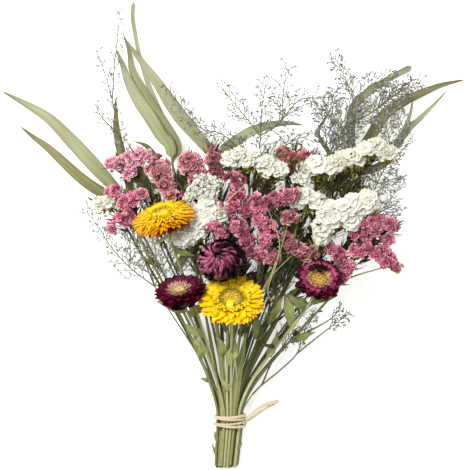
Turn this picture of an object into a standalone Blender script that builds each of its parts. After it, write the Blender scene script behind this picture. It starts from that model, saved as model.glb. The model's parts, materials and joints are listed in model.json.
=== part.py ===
"""Dried flower bouquet: strawflowers, pink and white statice, caspia and narrow eucalyptus leaves.

The tied bunch lies on its back, as it does on a table. X runs to the right, Y from the cut ends to the
tips, Z up. The origin is under the middle of the bunch, on the table. Every size is in millimetres.
"""

import math
import random

import bmesh
import bpy
import numpy as np
from mathutils import Vector
from mathutils.bvhtree import BVHTree

MM = 0.001

# Driving dimensions of the bunch.
CUT_Y = -198.5  # the longest cut end
TIE_Y = -159.0  # middle of the raffia
FAN_Y = -150.0  # from here the stems spread
TIE_X = -3.0
TIE_Z = 12.13
CUT_SHIFT = (-3.0, -6.1)  # how far the cut ends lie left of and below the stems in the tie
CUT_SQUEEZE = 0.88
SLOT_PITCH = 2.8
ROW_PITCH = 2.5
BUNDLE_HALF = (13.0, 8.5)  # inside of the raffia, sideways and upwards
STEM_RADIUS = 1.1
BRANCH_RADIUS = 0.75
DISC_SEAT = 1.6  # depth of the flat that the disc sits on
BRACT_THICK = 1.0
STEM_FIT = 0.55  # how far a stem may stray from its smooth curve
BRANCH_FIT = 0.7
STEM_TAPER = 0.15  # how much of its radius a stem loses on its way up
SPINE_SHARE = 0.34  # the spine inside a head, as a share of the head's radius, and its most
SPINE_MOST = 2.4
FLORET_SHARE = 0.74  # a floret's rim radius, as a share of the head's radius, and its limits
FLORET_LIMITS = (3.8, 6.0)
FLORET_LOBES = 5
FLORET_STEP = 0.5  # from floret to floret along the spine, as a share of the rim radius
BROAD_HEAD = 7.4  # a head with at least this radius carries the broad rows of florets
BROAD_ROWS = (-0.95, 0.0, 0.95)  # how far each row leans aside, in radians
SLIM_ROWS = (-0.62, 0.62)
HEAD_OVERHANG = 0.55  # how far a spine runs past its last ball, as a share of the ball's radius
BRANCH_STOP = 0.9  # how far under the spine a green branch is first led
BRANCH_SEAT = 0.75  # from the middle of the branch's end to the head, which leaves about the gap at its rim
SEAT_STEP = 0.05
SEAT_MOST = 3.0
HEAD_OUT = np.array((0.0, 0.5, 0.87))  # the way the statice heads face
GAP = 0.35  # clearance between two pieces that touch on the real bunch

# Who stands where in the tie: rows from the back of the bunch to its front, each from left to right.
TIE_ROWS = (
    ("eucalyptus_left", "caspia_left", "eucalyptus_top", "eucalyptus_middle", "caspia_top_right",
     "eucalyptus_right"),
    ("white_left", "caspia_low_left", "pink_far_left", "caspia_middle", "pink_upper_right",
     "white_top_right", "caspia_right", "caspia_low_right"),
    ("pink_left", "pink_upper_left", "pink_top", "white_top", "white_fan", "white_right",
     "pink_right", "pink_low_right"),
    ("yellow_left", "white_lacy", "pink_centre", "burgundy_hidden", "pink_low_middle",
     "burgundy_right"),
    ("burgundy_left", "burgundy_dome", "yellow_front", "pink_centre_right"),
)

# Strawflowers: middle of the disc, the way the flower faces, its radius, the disc's radius, the bracts in
# a ring, and the rings from the back as (reach, rise, width), all shares of the radius.
STRAWFLOWERS = {
    "yellow_front": dict(at=(-1.5, -55, 84), faces=(0.0, 0.68, 0.73), radius=29.5, disc=11.0, count=14,
                         rings=((1.05, -0.10, 0.28), (0.92, 0.05, 0.26), (0.68, 0.14, 0.165)),
                         colour="strawflower_yellow"),
    "yellow_left": dict(at=(-60, 17, 84), faces=(-0.26, 0.85, 0.46), radius=27.5, disc=9.5, count=14,
                        rings=((1.08, -0.34, 0.28), (1.02, -0.12, 0.27), (0.72, 0.06, 0.17)),
                        colour="strawflower_gold"),
    "burgundy_right": dict(at=(72, -38, 80), faces=(0.10, 0.58, 0.81), radius=21.5, disc=8.5, count=12,
                           rings=((1.06, -0.12, 0.33), (0.96, 0.07, 0.31), (0.74, 0.20, 0.22)),
                           colour="strawflower_burgundy"),
    "burgundy_left": dict(at=(-49, -46, 78), faces=(-0.30, 0.60, 0.74), radius=22.0, disc=7.5, count=12,
                          rings=((1.08, -0.28, 0.33), (1.00, -0.04, 0.31), (0.74, 0.14, 0.20)),
                          colour="strawflower_burgundy"),
}
BUDS = {
    "burgundy_dome": dict(at=(-10, -22.5, 84), faces=(-0.12, 0.42, 0.90), radius=21.0, height=17.5, count=12,
                          scales=((-0.75, -0.15), (-0.15, 0.35), (0.32, 0.80), (0.72, 1.20))),
    "burgundy_hidden": dict(at=(17.5, -40.5, 46), faces=(0.25, 0.55, 0.80), radius=9.0, height=9.0, count=7,
                            scales=((-0.7, 0.0), (0.0, 0.7), (0.6, 1.2))),
}

# Statice heads: balls of florets as (x, y, z, radius, the ball it hangs on). A ball hangs on the one
# before it unless it names another. "branches" are the balls that a green branch runs to.
PINK = {
    "pink_far_left": dict(
        balls=((-104, 61, 45, 4.5), (-97, 63, 46, 5.0), (-89, 65, 47, 5.5), (-80, 68, 48, 6.5),
               (-73, 69, 48, 6.0), (-87, 55, 46, 6.0, 2)),
        branches=(1, 3, 5)),
    "pink_left": dict(
        balls=((-102, 39, 58, 5.0), (-93, 28, 61, 5.0), (-86, 32, 61, 5.5), (-79, 36, 60, 5.0),
               (-92, 15, 60, 7.0, 1), (-103, 6, 56, 4.5)),
        branches=(0, 2, 4)),
    "pink_upper_left": dict(
        balls=((-62, 56, 56, 11.5), (-58, 44, 57, 8.5), (-39, 63, 56, 9.5, 0), (-31, 51, 56, 8.0),
               (-51, 36, 60, 4.5, 1)),
        branches=(0, 1, 2, 3)),
    "pink_top": dict(balls=((-14, 57, 58, 8.0), (-17, 69, 57, 7.0)), branches=(0, 1)),
    "pink_centre": dict(
        balls=((1, 29, 76, 10.0), (11, 22, 78, 6.5), (4, 8, 82, 8.0), (-10, 2, 81, 6.0),
               (-19, 9, 83, 4.5), (11, -4, 80, 6.5, 2), (2, 47, 68, 7.5, 0)),
        branches=(0, 2, 6)),
    "pink_centre_right": dict(
        balls=((21, 27, 80, 6.0), (29, 28, 80, 6.0), (38, 31, 79, 6.5), (48, 35, 78, 5.5),
               (22, 14, 82, 6.5, 0), (30, 8, 82, 7.0), (27, -2, 82, 7.0), (25, -15, 80, 6.0),
               (15, -13, 79, 5.0), (34, -18, 79, 5.5, 7)),
        branches=(1, 3, 5, 7)),
    "pink_low_middle": dict(
        balls=((46, -3, 74, 5.0), (52, -9, 73, 5.5), (60, -14, 72, 5.5), (67, -15, 71, 5.0),
               (47, 15, 76, 7.0, 0)),
        branches=(1, 3, 4)),
    "pink_upper_right": dict(
        balls=((42, 69, 52, 5.5), (50, 67, 53, 6.0), (58, 66, 53, 6.0), (66, 65, 53, 5.0),
               (50, 57, 54, 6.0, 1)),
        branches=(1, 3, 4)),
    "pink_right": dict(
        balls=((106, 5, 62, 7.5), (113, 9, 63, 8.0), (122, 11, 63, 9.5), (133, 9, 62, 7.0),
               (129, -3, 61, 5.5, 2)),
        branches=(0, 2, 3)),
    "pink_low_right": dict(
        balls=((83, -10, 58, 6.5), (90, -18, 58, 7.0), (97, -26, 57, 6.5), (93, -34, 56, 6.0),
               (105, -13, 57, 6.0, 1), (116, -11, 57, 5.5), (125, -16, 57, 6.0), (132, -22, 56, 6.0),
               (138, -27, 55, 4.5)),
        branches=(1, 3, 5, 7)),
}
WHITE = {
    "white_left": dict(balls=((-112, 27, 46, 6.0), (-103, 29, 47, 6.5), (-94, 30, 46, 6.0)),
                       branches=(0, 2)),
    "white_lacy": dict(
        balls=((-27, 44, 67, 7.0), (-17, 42, 68, 7.0), (-22, 33, 69, 8.5, 0), (-22, 19, 70, 10.5),
               (-11, 18, 70, 6.0), (-31, 4, 69, 6.5, 3), (-39, 0, 68, 6.5), (-46, -3, 66, 5.0)),
        branches=(0, 3, 6)),
    "white_top": dict(
        balls=((-3, 65, 59, 7.5), (6, 67, 60, 8.5), (16, 66, 60, 8.0), (27, 62, 61, 8.0),
               (35, 56, 60, 9.0)),
        branches=(1, 3, 4)),
    "white_top_right": dict(
        balls=((61, 57, 56, 7.0), (70, 60, 57, 8.5), (80, 59, 57, 8.0), (92, 64, 57, 8.0),
               (101, 66, 57, 9.0), (112, 73, 56, 7.5), (121, 76, 56, 7.5), (131, 70, 55, 6.5)),
        branches=(1, 4, 6)),
    "white_fan": dict(balls=((52, 31, 66, 6.5), (61, 33, 67, 8.0), (70, 31, 66, 7.0), (57, 49, 62, 6.0, 1)),
                      branches=(0, 2, 3)),
    "white_right": dict(
        balls=((74, 1, 66, 5.0), (77, 10, 68, 8.0), (83, 20, 69, 10.0), (93, 23, 70, 9.0),
               (102, 27, 69, 9.5), (114, 31, 68, 8.0), (100, 15, 67, 7.5, 4)),
        branches=(1, 3, 5)),
}

# Caspia: bare stalks, each a list of points. The first stalk starts where the stem from the tie ends.
CASPIA = {
    "caspia_left": (
        ((-88, 48, 26), (-97, 84, 27), (-103, 114, 26), (-109, 136, 25), (-117, 157, 23)),
        ((-97, 84, 27), (-112, 100, 25), (-118, 112, 24)),
        ((-103, 114, 26), (-101, 145, 25), (-98, 172, 23), (-97, 192, 21)),
    ),
    "caspia_low_left": (
        ((-67, -44, 33), (-88, -28, 36), (-105, -9, 37), (-114, 6, 38), (-125, 20, 38)),
        ((-67, -44, 33), (-72, -22, 38), (-73, -4, 40)),
        ((-88, -28, 36), (-88, -8, 38), (-93, 5, 38)),
    ),
    "caspia_middle": (
        ((20, 56, 38), (23, 84, 39), (24, 106, 38), (28, 131, 36)),
        ((23, 84, 39), (40, 96, 38), (42, 118, 36), (45, 142, 34)),
        ((40, 96, 38), (56, 114, 37), (74, 116, 35), (89, 118, 34)),
        ((23, 84, 39), (1, 111, 38), (-10, 125, 36)),
        ((20, 56, 38), (48, 78, 38), (64, 84, 37)),
        ((20, 56, 38), (-8, 84, 38), (-30, 92, 37), (-56, 124, 35)),
    ),
    "caspia_top_right": (
        ((80, 62, 30), (90, 90, 32), (103, 113, 33), (96, 130, 32), (86, 151, 30)),
        ((103, 113, 33), (118, 128, 33), (136, 132, 31)),
        ((90, 90, 32), (118, 104, 34), (140, 120, 33), (159, 130, 32)),
        ((80, 62, 30), (78, 88, 33), (74, 106, 32)),
        ((90, 90, 32), (84, 104, 33), (87, 118, 32)),
    ),
    "caspia_right": (
        ((112, 12, 42), (122, 44, 45), (133, 63, 46), (145, 82, 46), (138, 106, 45)),
        ((133, 63, 46), (131, 86, 46), (124, 104, 44)),
        ((122, 44, 45), (106, 54, 43), (102, 62, 42)),
        ((122, 44, 45), (136, 42, 47), (140, 48, 47)),
        ((112, 12, 42), (130, 22, 46), (139, 26, 47)),
    ),
    "caspia_low_right": (
        ((16, -136, 15), (24, -128, 17), (40, -115, 20), (54, -101, 23), (59, -85, 26), (70, -66, 29)),
        ((59, -85, 26), (82, -72, 30), (91, -62, 31)),
        ((54, -101, 23), (78, -82, 28), (97, -68, 30)),
        ((24, -128, 17), (33, -108, 24), (44, -92, 27), (52, -80, 29)),
    ),
}
CASPIA_TWIGS = {"caspia_left": 3, "caspia_low_left": 3, "caspia_middle": 2, "caspia_top_right": 2,
                "caspia_right": 3, "caspia_low_right": 2}

# Eucalyptus leaves as (points from root to tip, greatest width). Two spots of them touch the table.
EUCALYPTUS = {
    "eucalyptus_left": (
        (((-92, 30, 15), (-107, 46, 13), (-125, 66, 9), (-139, 81, 6), (-156, 98, 4.2), (-173, 109, 2.2),
          (-197, 122, 0.9)), 11.5),
        (((-92, 30, 15), (-110, 35, 12), (-130, 48, 8), (-157, 73, 3.5), (-169, 82, 2.0),
          (-181.5, 92, 0.31)), 9.5),
        (((-92, 30, 15), (-88, 40, 17), (-93, 59, 20), (-99, 86, 20), (-100, 106, 16), (-100, 117, 14)), 8.0),
    ),
    "eucalyptus_top": (
        (((-52, 60, 17), (-54, 76, 16), (-61, 84, 15), (-71, 100, 15), (-82, 116, 14), (-90, 132, 13),
          (-95, 146, 11), (-100, 158, 8)), 11.0),
        (((-52, 60, 17), (-47, 74, 13), (-58, 93, 11), (-68, 107, 10), (-78, 124, 9), (-86, 140, 8),
          (-89, 157, 7), (-94, 171, 5)), 9.0),
        (((-52, 60, 17), (-50, 78, 9), (-60, 98, 6), (-72, 126, 5), (-80, 152, 4), (-84, 172, 3.5),
          (-86, 186, 3), (-85, 198.5, 2.5)), 5.0),
    ),
    "eucalyptus_middle": (
        (((-12, 58, 31), (-10, 70, 31), (-3, 76, 31), (6, 82, 31), (14, 87, 31), (24, 91, 31), (31, 93, 30),
          (40, 94.5, 29), (48, 94.5, 28), (59, 93, 27)), 8.0),
        (((-12, 58, 31), (-20, 71, 28), (-31, 84, 24), (-43, 97, 21), (-54, 112, 19), (-64, 128, 17.5),
          (-73, 140, 16.5), (-82, 152, 15.5), (-93, 167, 14)), 11.0),
    ),
    "eucalyptus_right": (
        (((95, 50, 19), (100, 72, 19), (100, 98, 18), (104, 111, 16), (117, 123, 13), (133, 133, 9),
          (152, 143, 4)), 8.0),
        (((95, 50, 19), (116, 82, 14), (129, 102, 10), (146, 114, 6), (159, 120, 3.5), (176, 127, 1.6),
          (197, 132, 0.30)), 7.0),
        (((95, 50, 19), (124, 58, 22), (136, 74, 22), (150, 91, 20), (158, 98, 18), (173, 113, 14),
          (182, 123, 11)), 6.0),
        (((124, 58, 22), (134, 74, 25), (143, 84, 25), (150, 102, 23), (152.5, 115, 20)), 5.0),
        (((95, 50, 19), (84, 66, 21), (72, 85, 23), (77, 97, 24), (84, 110, 23)), 4.0),
    ),
}

# Leaves on the stems: (stem, share of the way up, from root to tip, width). A leaf arches by LEAF_ARCH.
LEAVES = (
    ("burgundy_left", 0.86, (-25.0, 7.0, 0.0), 8),
    ("burgundy_left", 0.80, (17.0, 9.5, -4.8), 7),
    ("burgundy_left", 0.45, (-12.0, 15.5, 4.0), 6),
    ("burgundy_right", 0.84, (23.5, 5.0, 0.0), 6),
    ("burgundy_right", 0.80, (-17.0, 10.5, 2.0), 8),
    ("burgundy_right", 0.62, (-7.5, 29.0, 3.0), 8),
    ("burgundy_right", 0.40, (7.5, 22.5, 5.0), 6),
    ("burgundy_dome", 0.35, (-9.5, 17.5, 10.5), 6.5),
    ("burgundy_hidden", 0.55, (3.5, 19.5, -1.6), 6),
    ("burgundy_hidden", 0.80, (15.0, 12.5, 4.0), 7),
    ("yellow_front", 0.42, (7.0, 19.5, 7.0), 9),
    ("yellow_front", 0.20, (-8.5, 10.0, 4.5), 5),
    ("yellow_left", 0.86, (17.5, -4.5, 2.0), 5),
    ("yellow_left", 0.40, (-17.0, 10.5, 0.0), 7),
    ("pink_left", 0.30, (1.0, 12.5, 7.0), 4.7),
    ("pink_far_left", 0.62, (15.5, 21.0, 0.0), 7),
    ("white_lacy", 0.60, (-12.5, 20.5, 0.0), 7),
    ("pink_low_middle", 0.62, (14.0, 22.0, 5.0), 8),
    ("pink_low_middle", 0.50, (-8.0, 24.0, 5.5), 8),
    ("white_fan", 0.60, (10.5, 23.5, 5.0), 8),
    ("white_right", 0.62, (19.5, 17.0, 0.0), 7),
    ("pink_low_right", 0.55, (21.0, 7.0, 2.5), 6),
    ("white_top_right", 0.75, (-10.5, 24.0, 0.0), 8),
    ("white_top", 0.70, (10.5, 24.0, 0.0), 8),
)
LEAF_ARCH = 2.0
LEAF_THICK = 1.3

# Colour, roughness and metallic value of each material, for Principled BSDF.
FINISHES = {
    "strawflower_yellow": ((0.93, 0.62, 0.02), 0.45),
    "strawflower_gold": ((0.90, 0.42, 0.02), 0.45),
    "strawflower_burgundy": ((0.10, 0.006, 0.03), 0.40),
    "disc_yellow": ((0.72, 0.45, 0.03), 0.80),
    "disc_cream": ((0.75, 0.55, 0.30), 0.80),
    "statice_pink": ((0.60, 0.10, 0.22), 0.70),
    "statice_white": ((0.86, 0.84, 0.72), 0.70),
    "stem_green": ((0.20, 0.22, 0.08), 0.65),
    "stem_straw": ((0.42, 0.38, 0.17), 0.60),
    "eucalyptus_sage": ((0.34, 0.38, 0.15), 0.60),
    "caspia_grey": ((0.20, 0.21, 0.19), 0.75),
    "raffia": ((0.82, 0.66, 0.42), 0.55),
}


def clear_scene():
    for old in list(bpy.data.objects):
        bpy.data.objects.remove(old)


def material(name):
    """The named finish as a Principled BSDF, made once."""
    found = bpy.data.materials.get(name)
    if found:
        return found
    made = bpy.data.materials.new(name)
    made.use_nodes = True
    shader = made.node_tree.nodes["Principled BSDF"]
    colour, roughness = FINISHES[name]
    shader.inputs["Base Color"].default_value = (*colour, 1.0)
    shader.inputs["Roughness"].default_value = roughness
    shader.inputs["Metallic"].default_value = 0.0
    return made


def unit(vector):
    """The vector at length 1."""
    vector = np.asarray(vector, float)
    return vector / max(np.linalg.norm(vector), 1e-9)


def across(direction):
    """Two unit vectors square to the direction and to each other."""
    direction = unit(direction)
    helper = np.array((0.0, 0.0, 1.0)) if abs(direction[2]) < 0.9 else np.array((0.0, 1.0, 0.0))
    side = unit(np.cross(direction, helper))
    return side, np.cross(side, direction)


def curve(points, step):
    """A smooth line through the points, as Catmull-Rom, with a point about every step."""
    points = np.asarray(points, float)
    if len(points) < 3:
        count = max(2, int(np.linalg.norm(points[1] - points[0]) / step) + 1)
        share = np.linspace(0, 1, count)[:, None]
        return points[0] * (1 - share) + points[1] * share
    ends = np.vstack((2 * points[0] - points[1], points, 2 * points[-1] - points[-2]))
    rows = [points[:1]]
    for before, start, end, after in zip(ends, ends[1:], ends[2:], ends[3:]):
        count = max(1, int(np.linalg.norm(end - start) / step))
        t = (np.arange(1, count + 1) / count)[:, None]
        rows.append(0.5 * (2 * start + (end - before) * t
                           + (2 * before - 5 * start + 4 * end - after) * t**2
                           + (3 * start - before - 3 * end + after) * t**3))
    return np.vstack(rows)


def thinned(points, within):
    """The fewest of the points that keep the line within that distance, by Douglas-Peucker."""
    start, end = points[0], points[-1]
    run = end - start
    share = np.clip((points - start) @ run / max(run @ run, 1e-9), 0, 1)
    off = np.linalg.norm(points - start - share[:, None] * run, axis=1)
    far = int(off.argmax())
    if off[far] <= within or len(points) < 3:
        return np.array((start, end))
    return np.vstack((thinned(points[: far + 1], within)[:-1], thinned(points[far:], within)))


class Room:
    """The space that is taken, as capsules: lines with a radius and an owner."""

    def __init__(self):
        self.starts, self.ends, self.radii, self.owners = [], [], [], []

    def take(self, owner, points, radius):
        for start, end in zip(points, points[1:]):
            self.starts.append(np.asarray(start, float))
            self.ends.append(np.asarray(end, float))
            self.radii.append(radius)
            self.owners.append(owner)

    def free(self, own, points, radius):
        """Whether a capsule along the points keeps the gap to every capsule but its own owners'."""
        if not self.starts:
            return True
        starts, ends = np.array(self.starts), np.array(self.ends)
        others = np.array([name not in own for name in self.owners])
        needed = np.array(self.radii) + radius + GAP
        for start, end in zip(points, points[1:]):
            apart = segment_distance(np.asarray(start, float), np.asarray(end, float), starts, ends)
            if (others & (apart < needed)).any():
                return False
        return True


def segment_distance(start, end, starts, ends):
    """Least distance from one segment to each of many."""
    along, runs = end - start, ends - starts
    offset = start - starts
    a = max(along @ along, 1e-9)
    e = np.maximum((runs * runs).sum(1), 1e-9)
    b, c, f = runs @ along, offset @ along, (runs * offset).sum(1)
    below = np.maximum(a * e - b * b, 1e-9)
    s = np.clip((b * f - c * e) / below, 0, 1)
    t = np.clip((b * s + f) / e, 0, 1)
    s = np.clip((b * t - c) / a, 0, 1)
    return np.linalg.norm(offset + s[:, None] * along - t[:, None] * runs, axis=1)


def tube(points, radii, sides):
    """A closed tube along the points. A last radius of 0 brings it to a point."""
    points = np.asarray(points, float)
    radii = np.broadcast_to(np.asarray(radii, float), len(points))
    side, _ = across(points[1] - points[0])
    corners, faces = [], []
    for k, point in enumerate(points):
        ahead = unit(points[min(k + 1, len(points) - 1)] - points[max(k - 1, 0)])
        side = unit(side - ahead * (side @ ahead))
        other = np.cross(ahead, side)
        if radii[k] == 0:
            corners.append(point)
            continue
        for n in range(sides):
            turn = 2 * math.pi * n / sides
            corners.append(point + radii[k] * (math.cos(turn) * side + math.sin(turn) * other))
    last = len(points) - 1
    for k in range(last):
        for n in range(sides):
            a, b = k * sides + n, k * sides + (n + 1) % sides
            if radii[k + 1] == 0:
                faces.append((a, b, (k + 1) * sides))
            else:
                faces.append((a, b, b + sides))
                faces.append((a, b + sides, a + sides))
    faces.append(tuple(reversed(range(sides))))
    if radii[-1] > 0:
        faces.append(tuple(range(last * sides, (last + 1) * sides)))
    return corners, faces


def blade(points, widths, up, thickness):
    """A leaf along the points: flat below, ridged down its middle above, with a pointed tip."""
    points = np.asarray(points, float)
    last = len(points) - 1
    corners, faces = [], []
    for k, point in enumerate(points[:-1]):
        ahead = unit(points[k + 1] - points[max(k - 1, 0)])
        side = unit(np.cross(ahead, up))
        over = np.cross(side, ahead)
        corners.append(point - side * widths[k] / 2 - over * thickness * 0.3)
        corners.append(point + side * widths[k] / 2 - over * thickness * 0.3)
        corners.append(point + over * thickness * 0.7)
    corners.append(points[last])
    for k in range(last):
        for n in range(3):
            a, b = 3 * k + n, 3 * k + (n + 1) % 3
            if k == last - 1:
                faces.append((a, b, 3 * last))
            elif n == 1:
                faces.append((a, b, a + 3))
                faces.append((b, b + 3, a + 3))
            else:
                faces.append((a, b, b + 3))
                faces.append((a, b + 3, a + 3))
    faces.append((2, 1, 0))
    return corners, faces


def ball(centre, radii, detail=1):
    """A coarse ball, as an icosphere, stretched along the axes."""
    mesh = bmesh.new()
    bmesh.ops.create_icosphere(mesh, subdivisions=detail, radius=1.0)
    corners = [np.array(v.co) * radii + centre for v in mesh.verts]
    faces = [tuple(v.index for v in face.verts) for face in mesh.faces]
    mesh.free()
    return corners, faces


def mesh_of(name, shape):
    """A mesh in metres from a shape in millimetres, with its faces turned outwards."""
    corners, faces = shape
    mesh = bpy.data.meshes.new(name)
    mesh.from_pydata([Vector(c) * MM for c in corners], [], [tuple(f) for f in faces])
    work = bmesh.new()
    work.from_mesh(mesh)
    bmesh.ops.recalc_face_normals(work, faces=work.faces)
    work.to_mesh(mesh)
    work.free()
    return mesh


def join(body, shapes):
    """Joins the shapes to the body in one Boolean union, and applies it."""
    group = bpy.data.collections.new("shapes")
    bpy.context.scene.collection.children.link(group)
    for shape in shapes:
        group.objects.link(bpy.data.objects.new("shape", mesh_of("shape", shape)))
    step = body.modifiers.new("join", "BOOLEAN")
    step.operation = "UNION"
    step.operand_type = "COLLECTION"
    step.collection = group
    step.solver = "MANIFOLD"
    graph = bpy.context.evaluated_depsgraph_get()
    made = bpy.data.meshes.new_from_object(body.evaluated_get(graph))
    body.modifiers.clear()
    body.data = made
    for helper in list(group.objects):
        bpy.data.objects.remove(helper)
    bpy.data.collections.remove(group)


def keep_largest(mesh):
    """Drops every loose scrap but the body itself."""
    work = bmesh.new()
    work.from_mesh(mesh)
    work.verts.ensure_lookup_table()
    seen, bodies = set(), []
    for first in work.verts:
        if first in seen:
            continue
        body, queue = [], [first]
        seen.add(first)
        while queue:
            corner = queue.pop()
            body.append(corner)
            for edge in corner.link_edges:
                other = edge.other_vert(corner)
                if other not in seen:
                    seen.add(other)
                    queue.append(other)
        bodies.append(body)
    bodies.sort(key=len)
    for body in bodies[:-1]:
        bmesh.ops.delete(work, geom=body, context="VERTS")
    bmesh.ops.triangulate(work, faces=work.faces)
    work.to_mesh(mesh)
    work.free()


def add_piece(name, shapes, finish, smooth=False):
    """One named solid: its shapes joined in one body, and its material."""
    body = bpy.data.objects.new(name, mesh_of(name, shapes[0]))
    bpy.context.scene.collection.objects.link(body)
    if len(shapes) > 1:
        join(body, shapes[1:])
    keep_largest(body.data)
    body.data.name = name
    body.data.materials.clear()
    body.data.materials.append(material(finish))
    body.data.polygons.foreach_set("material_index", [0] * len(body.data.polygons))
    if smooth:
        body.data.shade_smooth()
        body.data.set_sharp_from_angle(angle=math.radians(50))
    return body


def slots():
    """Where each stem stands in the tie, by its name."""
    found = {}
    for row, names in enumerate(TIE_ROWS):
        height = TIE_Z + (row - (len(TIE_ROWS) - 1) / 2) * ROW_PITCH
        stagger = SLOT_PITCH / 4 if row % 2 else -SLOT_PITCH / 4
        for place, name in enumerate(names):
            off = (place - (len(names) - 1) / 2) * SLOT_PITCH
            if len(names) % 2 == len(TIE_ROWS[0]) % 2:
                off += stagger
            found[name] = np.array((TIE_X + off, FAN_Y, height))
    return found


def bent(start, end, arrive, ease):
    """A cubic curve that leaves along the bunch and arrives along the given direction."""
    reach = np.linalg.norm(end - start)
    leave = unit(unit(end - start) + np.array((0, 1.2, 0)))
    a, b = start + leave * reach * ease, end - unit(arrive) * reach * ease
    t = np.linspace(0, 1, max(4, int(reach / 3.2)))[:, None]
    return (1 - t)**3 * start + 3 * (1 - t)**2 * t * a + 3 * (1 - t) * t**2 * b + t**3 * end


class Strands:
    """The stems and branches, as rows of points that bend clear of each other."""

    def __init__(self):
        self.rows, self.owners, self.radii, self.fixed = [], [], [], []

    def add(self, owner, points, radius, fixed=False):
        self.rows.append(np.asarray(points, float))
        self.owners.append(owner)
        self.radii.append(radius)
        self.fixed.append(fixed)
        return len(self.rows) - 1

    def relax(self, heads, rounds=260):
        """Points of two owners, or a point and another's head, push apart until they keep the gap.

        The shifts are averaged along each strand, so that a stem bends as a stem does. The ends and the
        fixed strands stay where they are.
        """
        rest = np.vstack(self.rows)
        which = np.repeat(np.arange(len(self.rows)), [len(r) for r in self.rows])
        names = sorted(set(self.owners) | {h[0] for h in heads})
        owner = np.array([names.index(o) for o in self.owners])[which]
        radius = np.array(self.radii)[which]
        first = np.r_[True, which[1:] != which[:-1]]
        last = np.r_[which[1:] != which[:-1], True]
        free = ~(first | last | np.array(self.fixed)[which])
        before, after = np.arange(len(rest)) - ~first, np.arange(len(rest)) + ~last
        centres = np.array([h[1] for h in heads], float)
        sizes = np.array([h[2] for h in heads], float)
        held = np.array([names.index(h[0]) for h in heads])
        shift = np.zeros_like(rest)
        for step in range(rounds):
            now = rest + shift
            if step % 20 == 0:
                near = np.linalg.norm(now[:, None] - now[None], axis=2) < 9.0
                i, j = np.nonzero(np.triu(near & (owner[:, None] != owner[None]), 1))
            gap = now[i] - now[j]
            apart = np.maximum(np.linalg.norm(gap, axis=1), 1e-6)
            push = np.maximum(0, radius[i] + radius[j] + 2 * GAP - apart)
            move = gap / apart[:, None] * push[:, None] * 0.5
            np.add.at(shift, i, move)
            np.add.at(shift, j, -move)
            out = now[:, None] - centres[None]
            far = np.maximum(np.linalg.norm(out, axis=2), 1e-6)
            into = np.maximum(0, sizes + radius[:, None] + GAP - far) * (owner[:, None] != held[None])
            shift += (out / far[..., None] * into[..., None] * 0.6).sum(1)
            shift[:, 2] += np.maximum(0, radius + 0.6 - now[:, 2]) * free
            shift = np.where(free[:, None], 0.5 * shift + 0.25 * (shift[before] + shift[after]), 0)
        now = rest + shift
        for k in range(len(self.rows)):
            self.rows[k] = now[which == k]


def spray_plan(name, spray, start):
    """Where a spray forks, and the curves to its fork and from there to its balls."""
    balls = np.array([b[:3] for b in spray["balls"]], float)
    sizes = np.array([b[3] for b in spray["balls"]], float)
    middle = balls.mean(0)
    back = unit(start - middle)
    spread = np.linalg.norm(balls - middle, axis=1).max()
    fork = middle + back * (10 + 0.75 * spread) + np.array((0, 0, -3.0))
    main = bent(start, fork, fork - start, 0.3)
    branches = []
    for index in spray["branches"]:
        stop = balls[index] - HEAD_OUT * (spine_radius(sizes[index]) + BRANCH_STOP)
        branches.append(bent(fork, stop, HEAD_OUT, 0.3))
    return main, branches


def head_runs(spray):
    """The runs of a head, each a list of balls that hang on one another."""
    runs, run = [], [0]
    for index, entry in enumerate(spray["balls"][1:], 1):
        parent = entry[4] if len(entry) > 4 else index - 1
        if parent == run[-1]:
            run.append(index)
        else:
            runs.append(run)
            run = [parent, index]
    runs.append(run)
    return runs


def floret(root, axis, radius, height, turn):
    """A papery floret: a funnel from its root to a lobed rim, with a hollow top."""
    axis = unit(axis)
    side, other = across(axis)
    corners = [root, root + axis * height * 0.60]
    for n in range(FLORET_LOBES):
        angle = turn + 2 * math.pi * n / FLORET_LOBES
        lift = height * (1.06 if n % 2 else 0.90)
        spread = radius * (1.0 if n % 2 else 0.86)
        corners.append(root + axis * lift + spread * (math.cos(angle) * side + math.sin(angle) * other))
    faces = []
    for n in range(FLORET_LOBES):
        a, b = 2 + n, 2 + (n + 1) % FLORET_LOBES
        faces.append((0, b, a))
        faces.append((1, a, b))
    return corners, faces


def spine_radius(head):
    """The spine's radius where the head has this radius."""
    return np.minimum(np.asarray(head) * SPINE_SHARE, SPINE_MOST)


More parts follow.
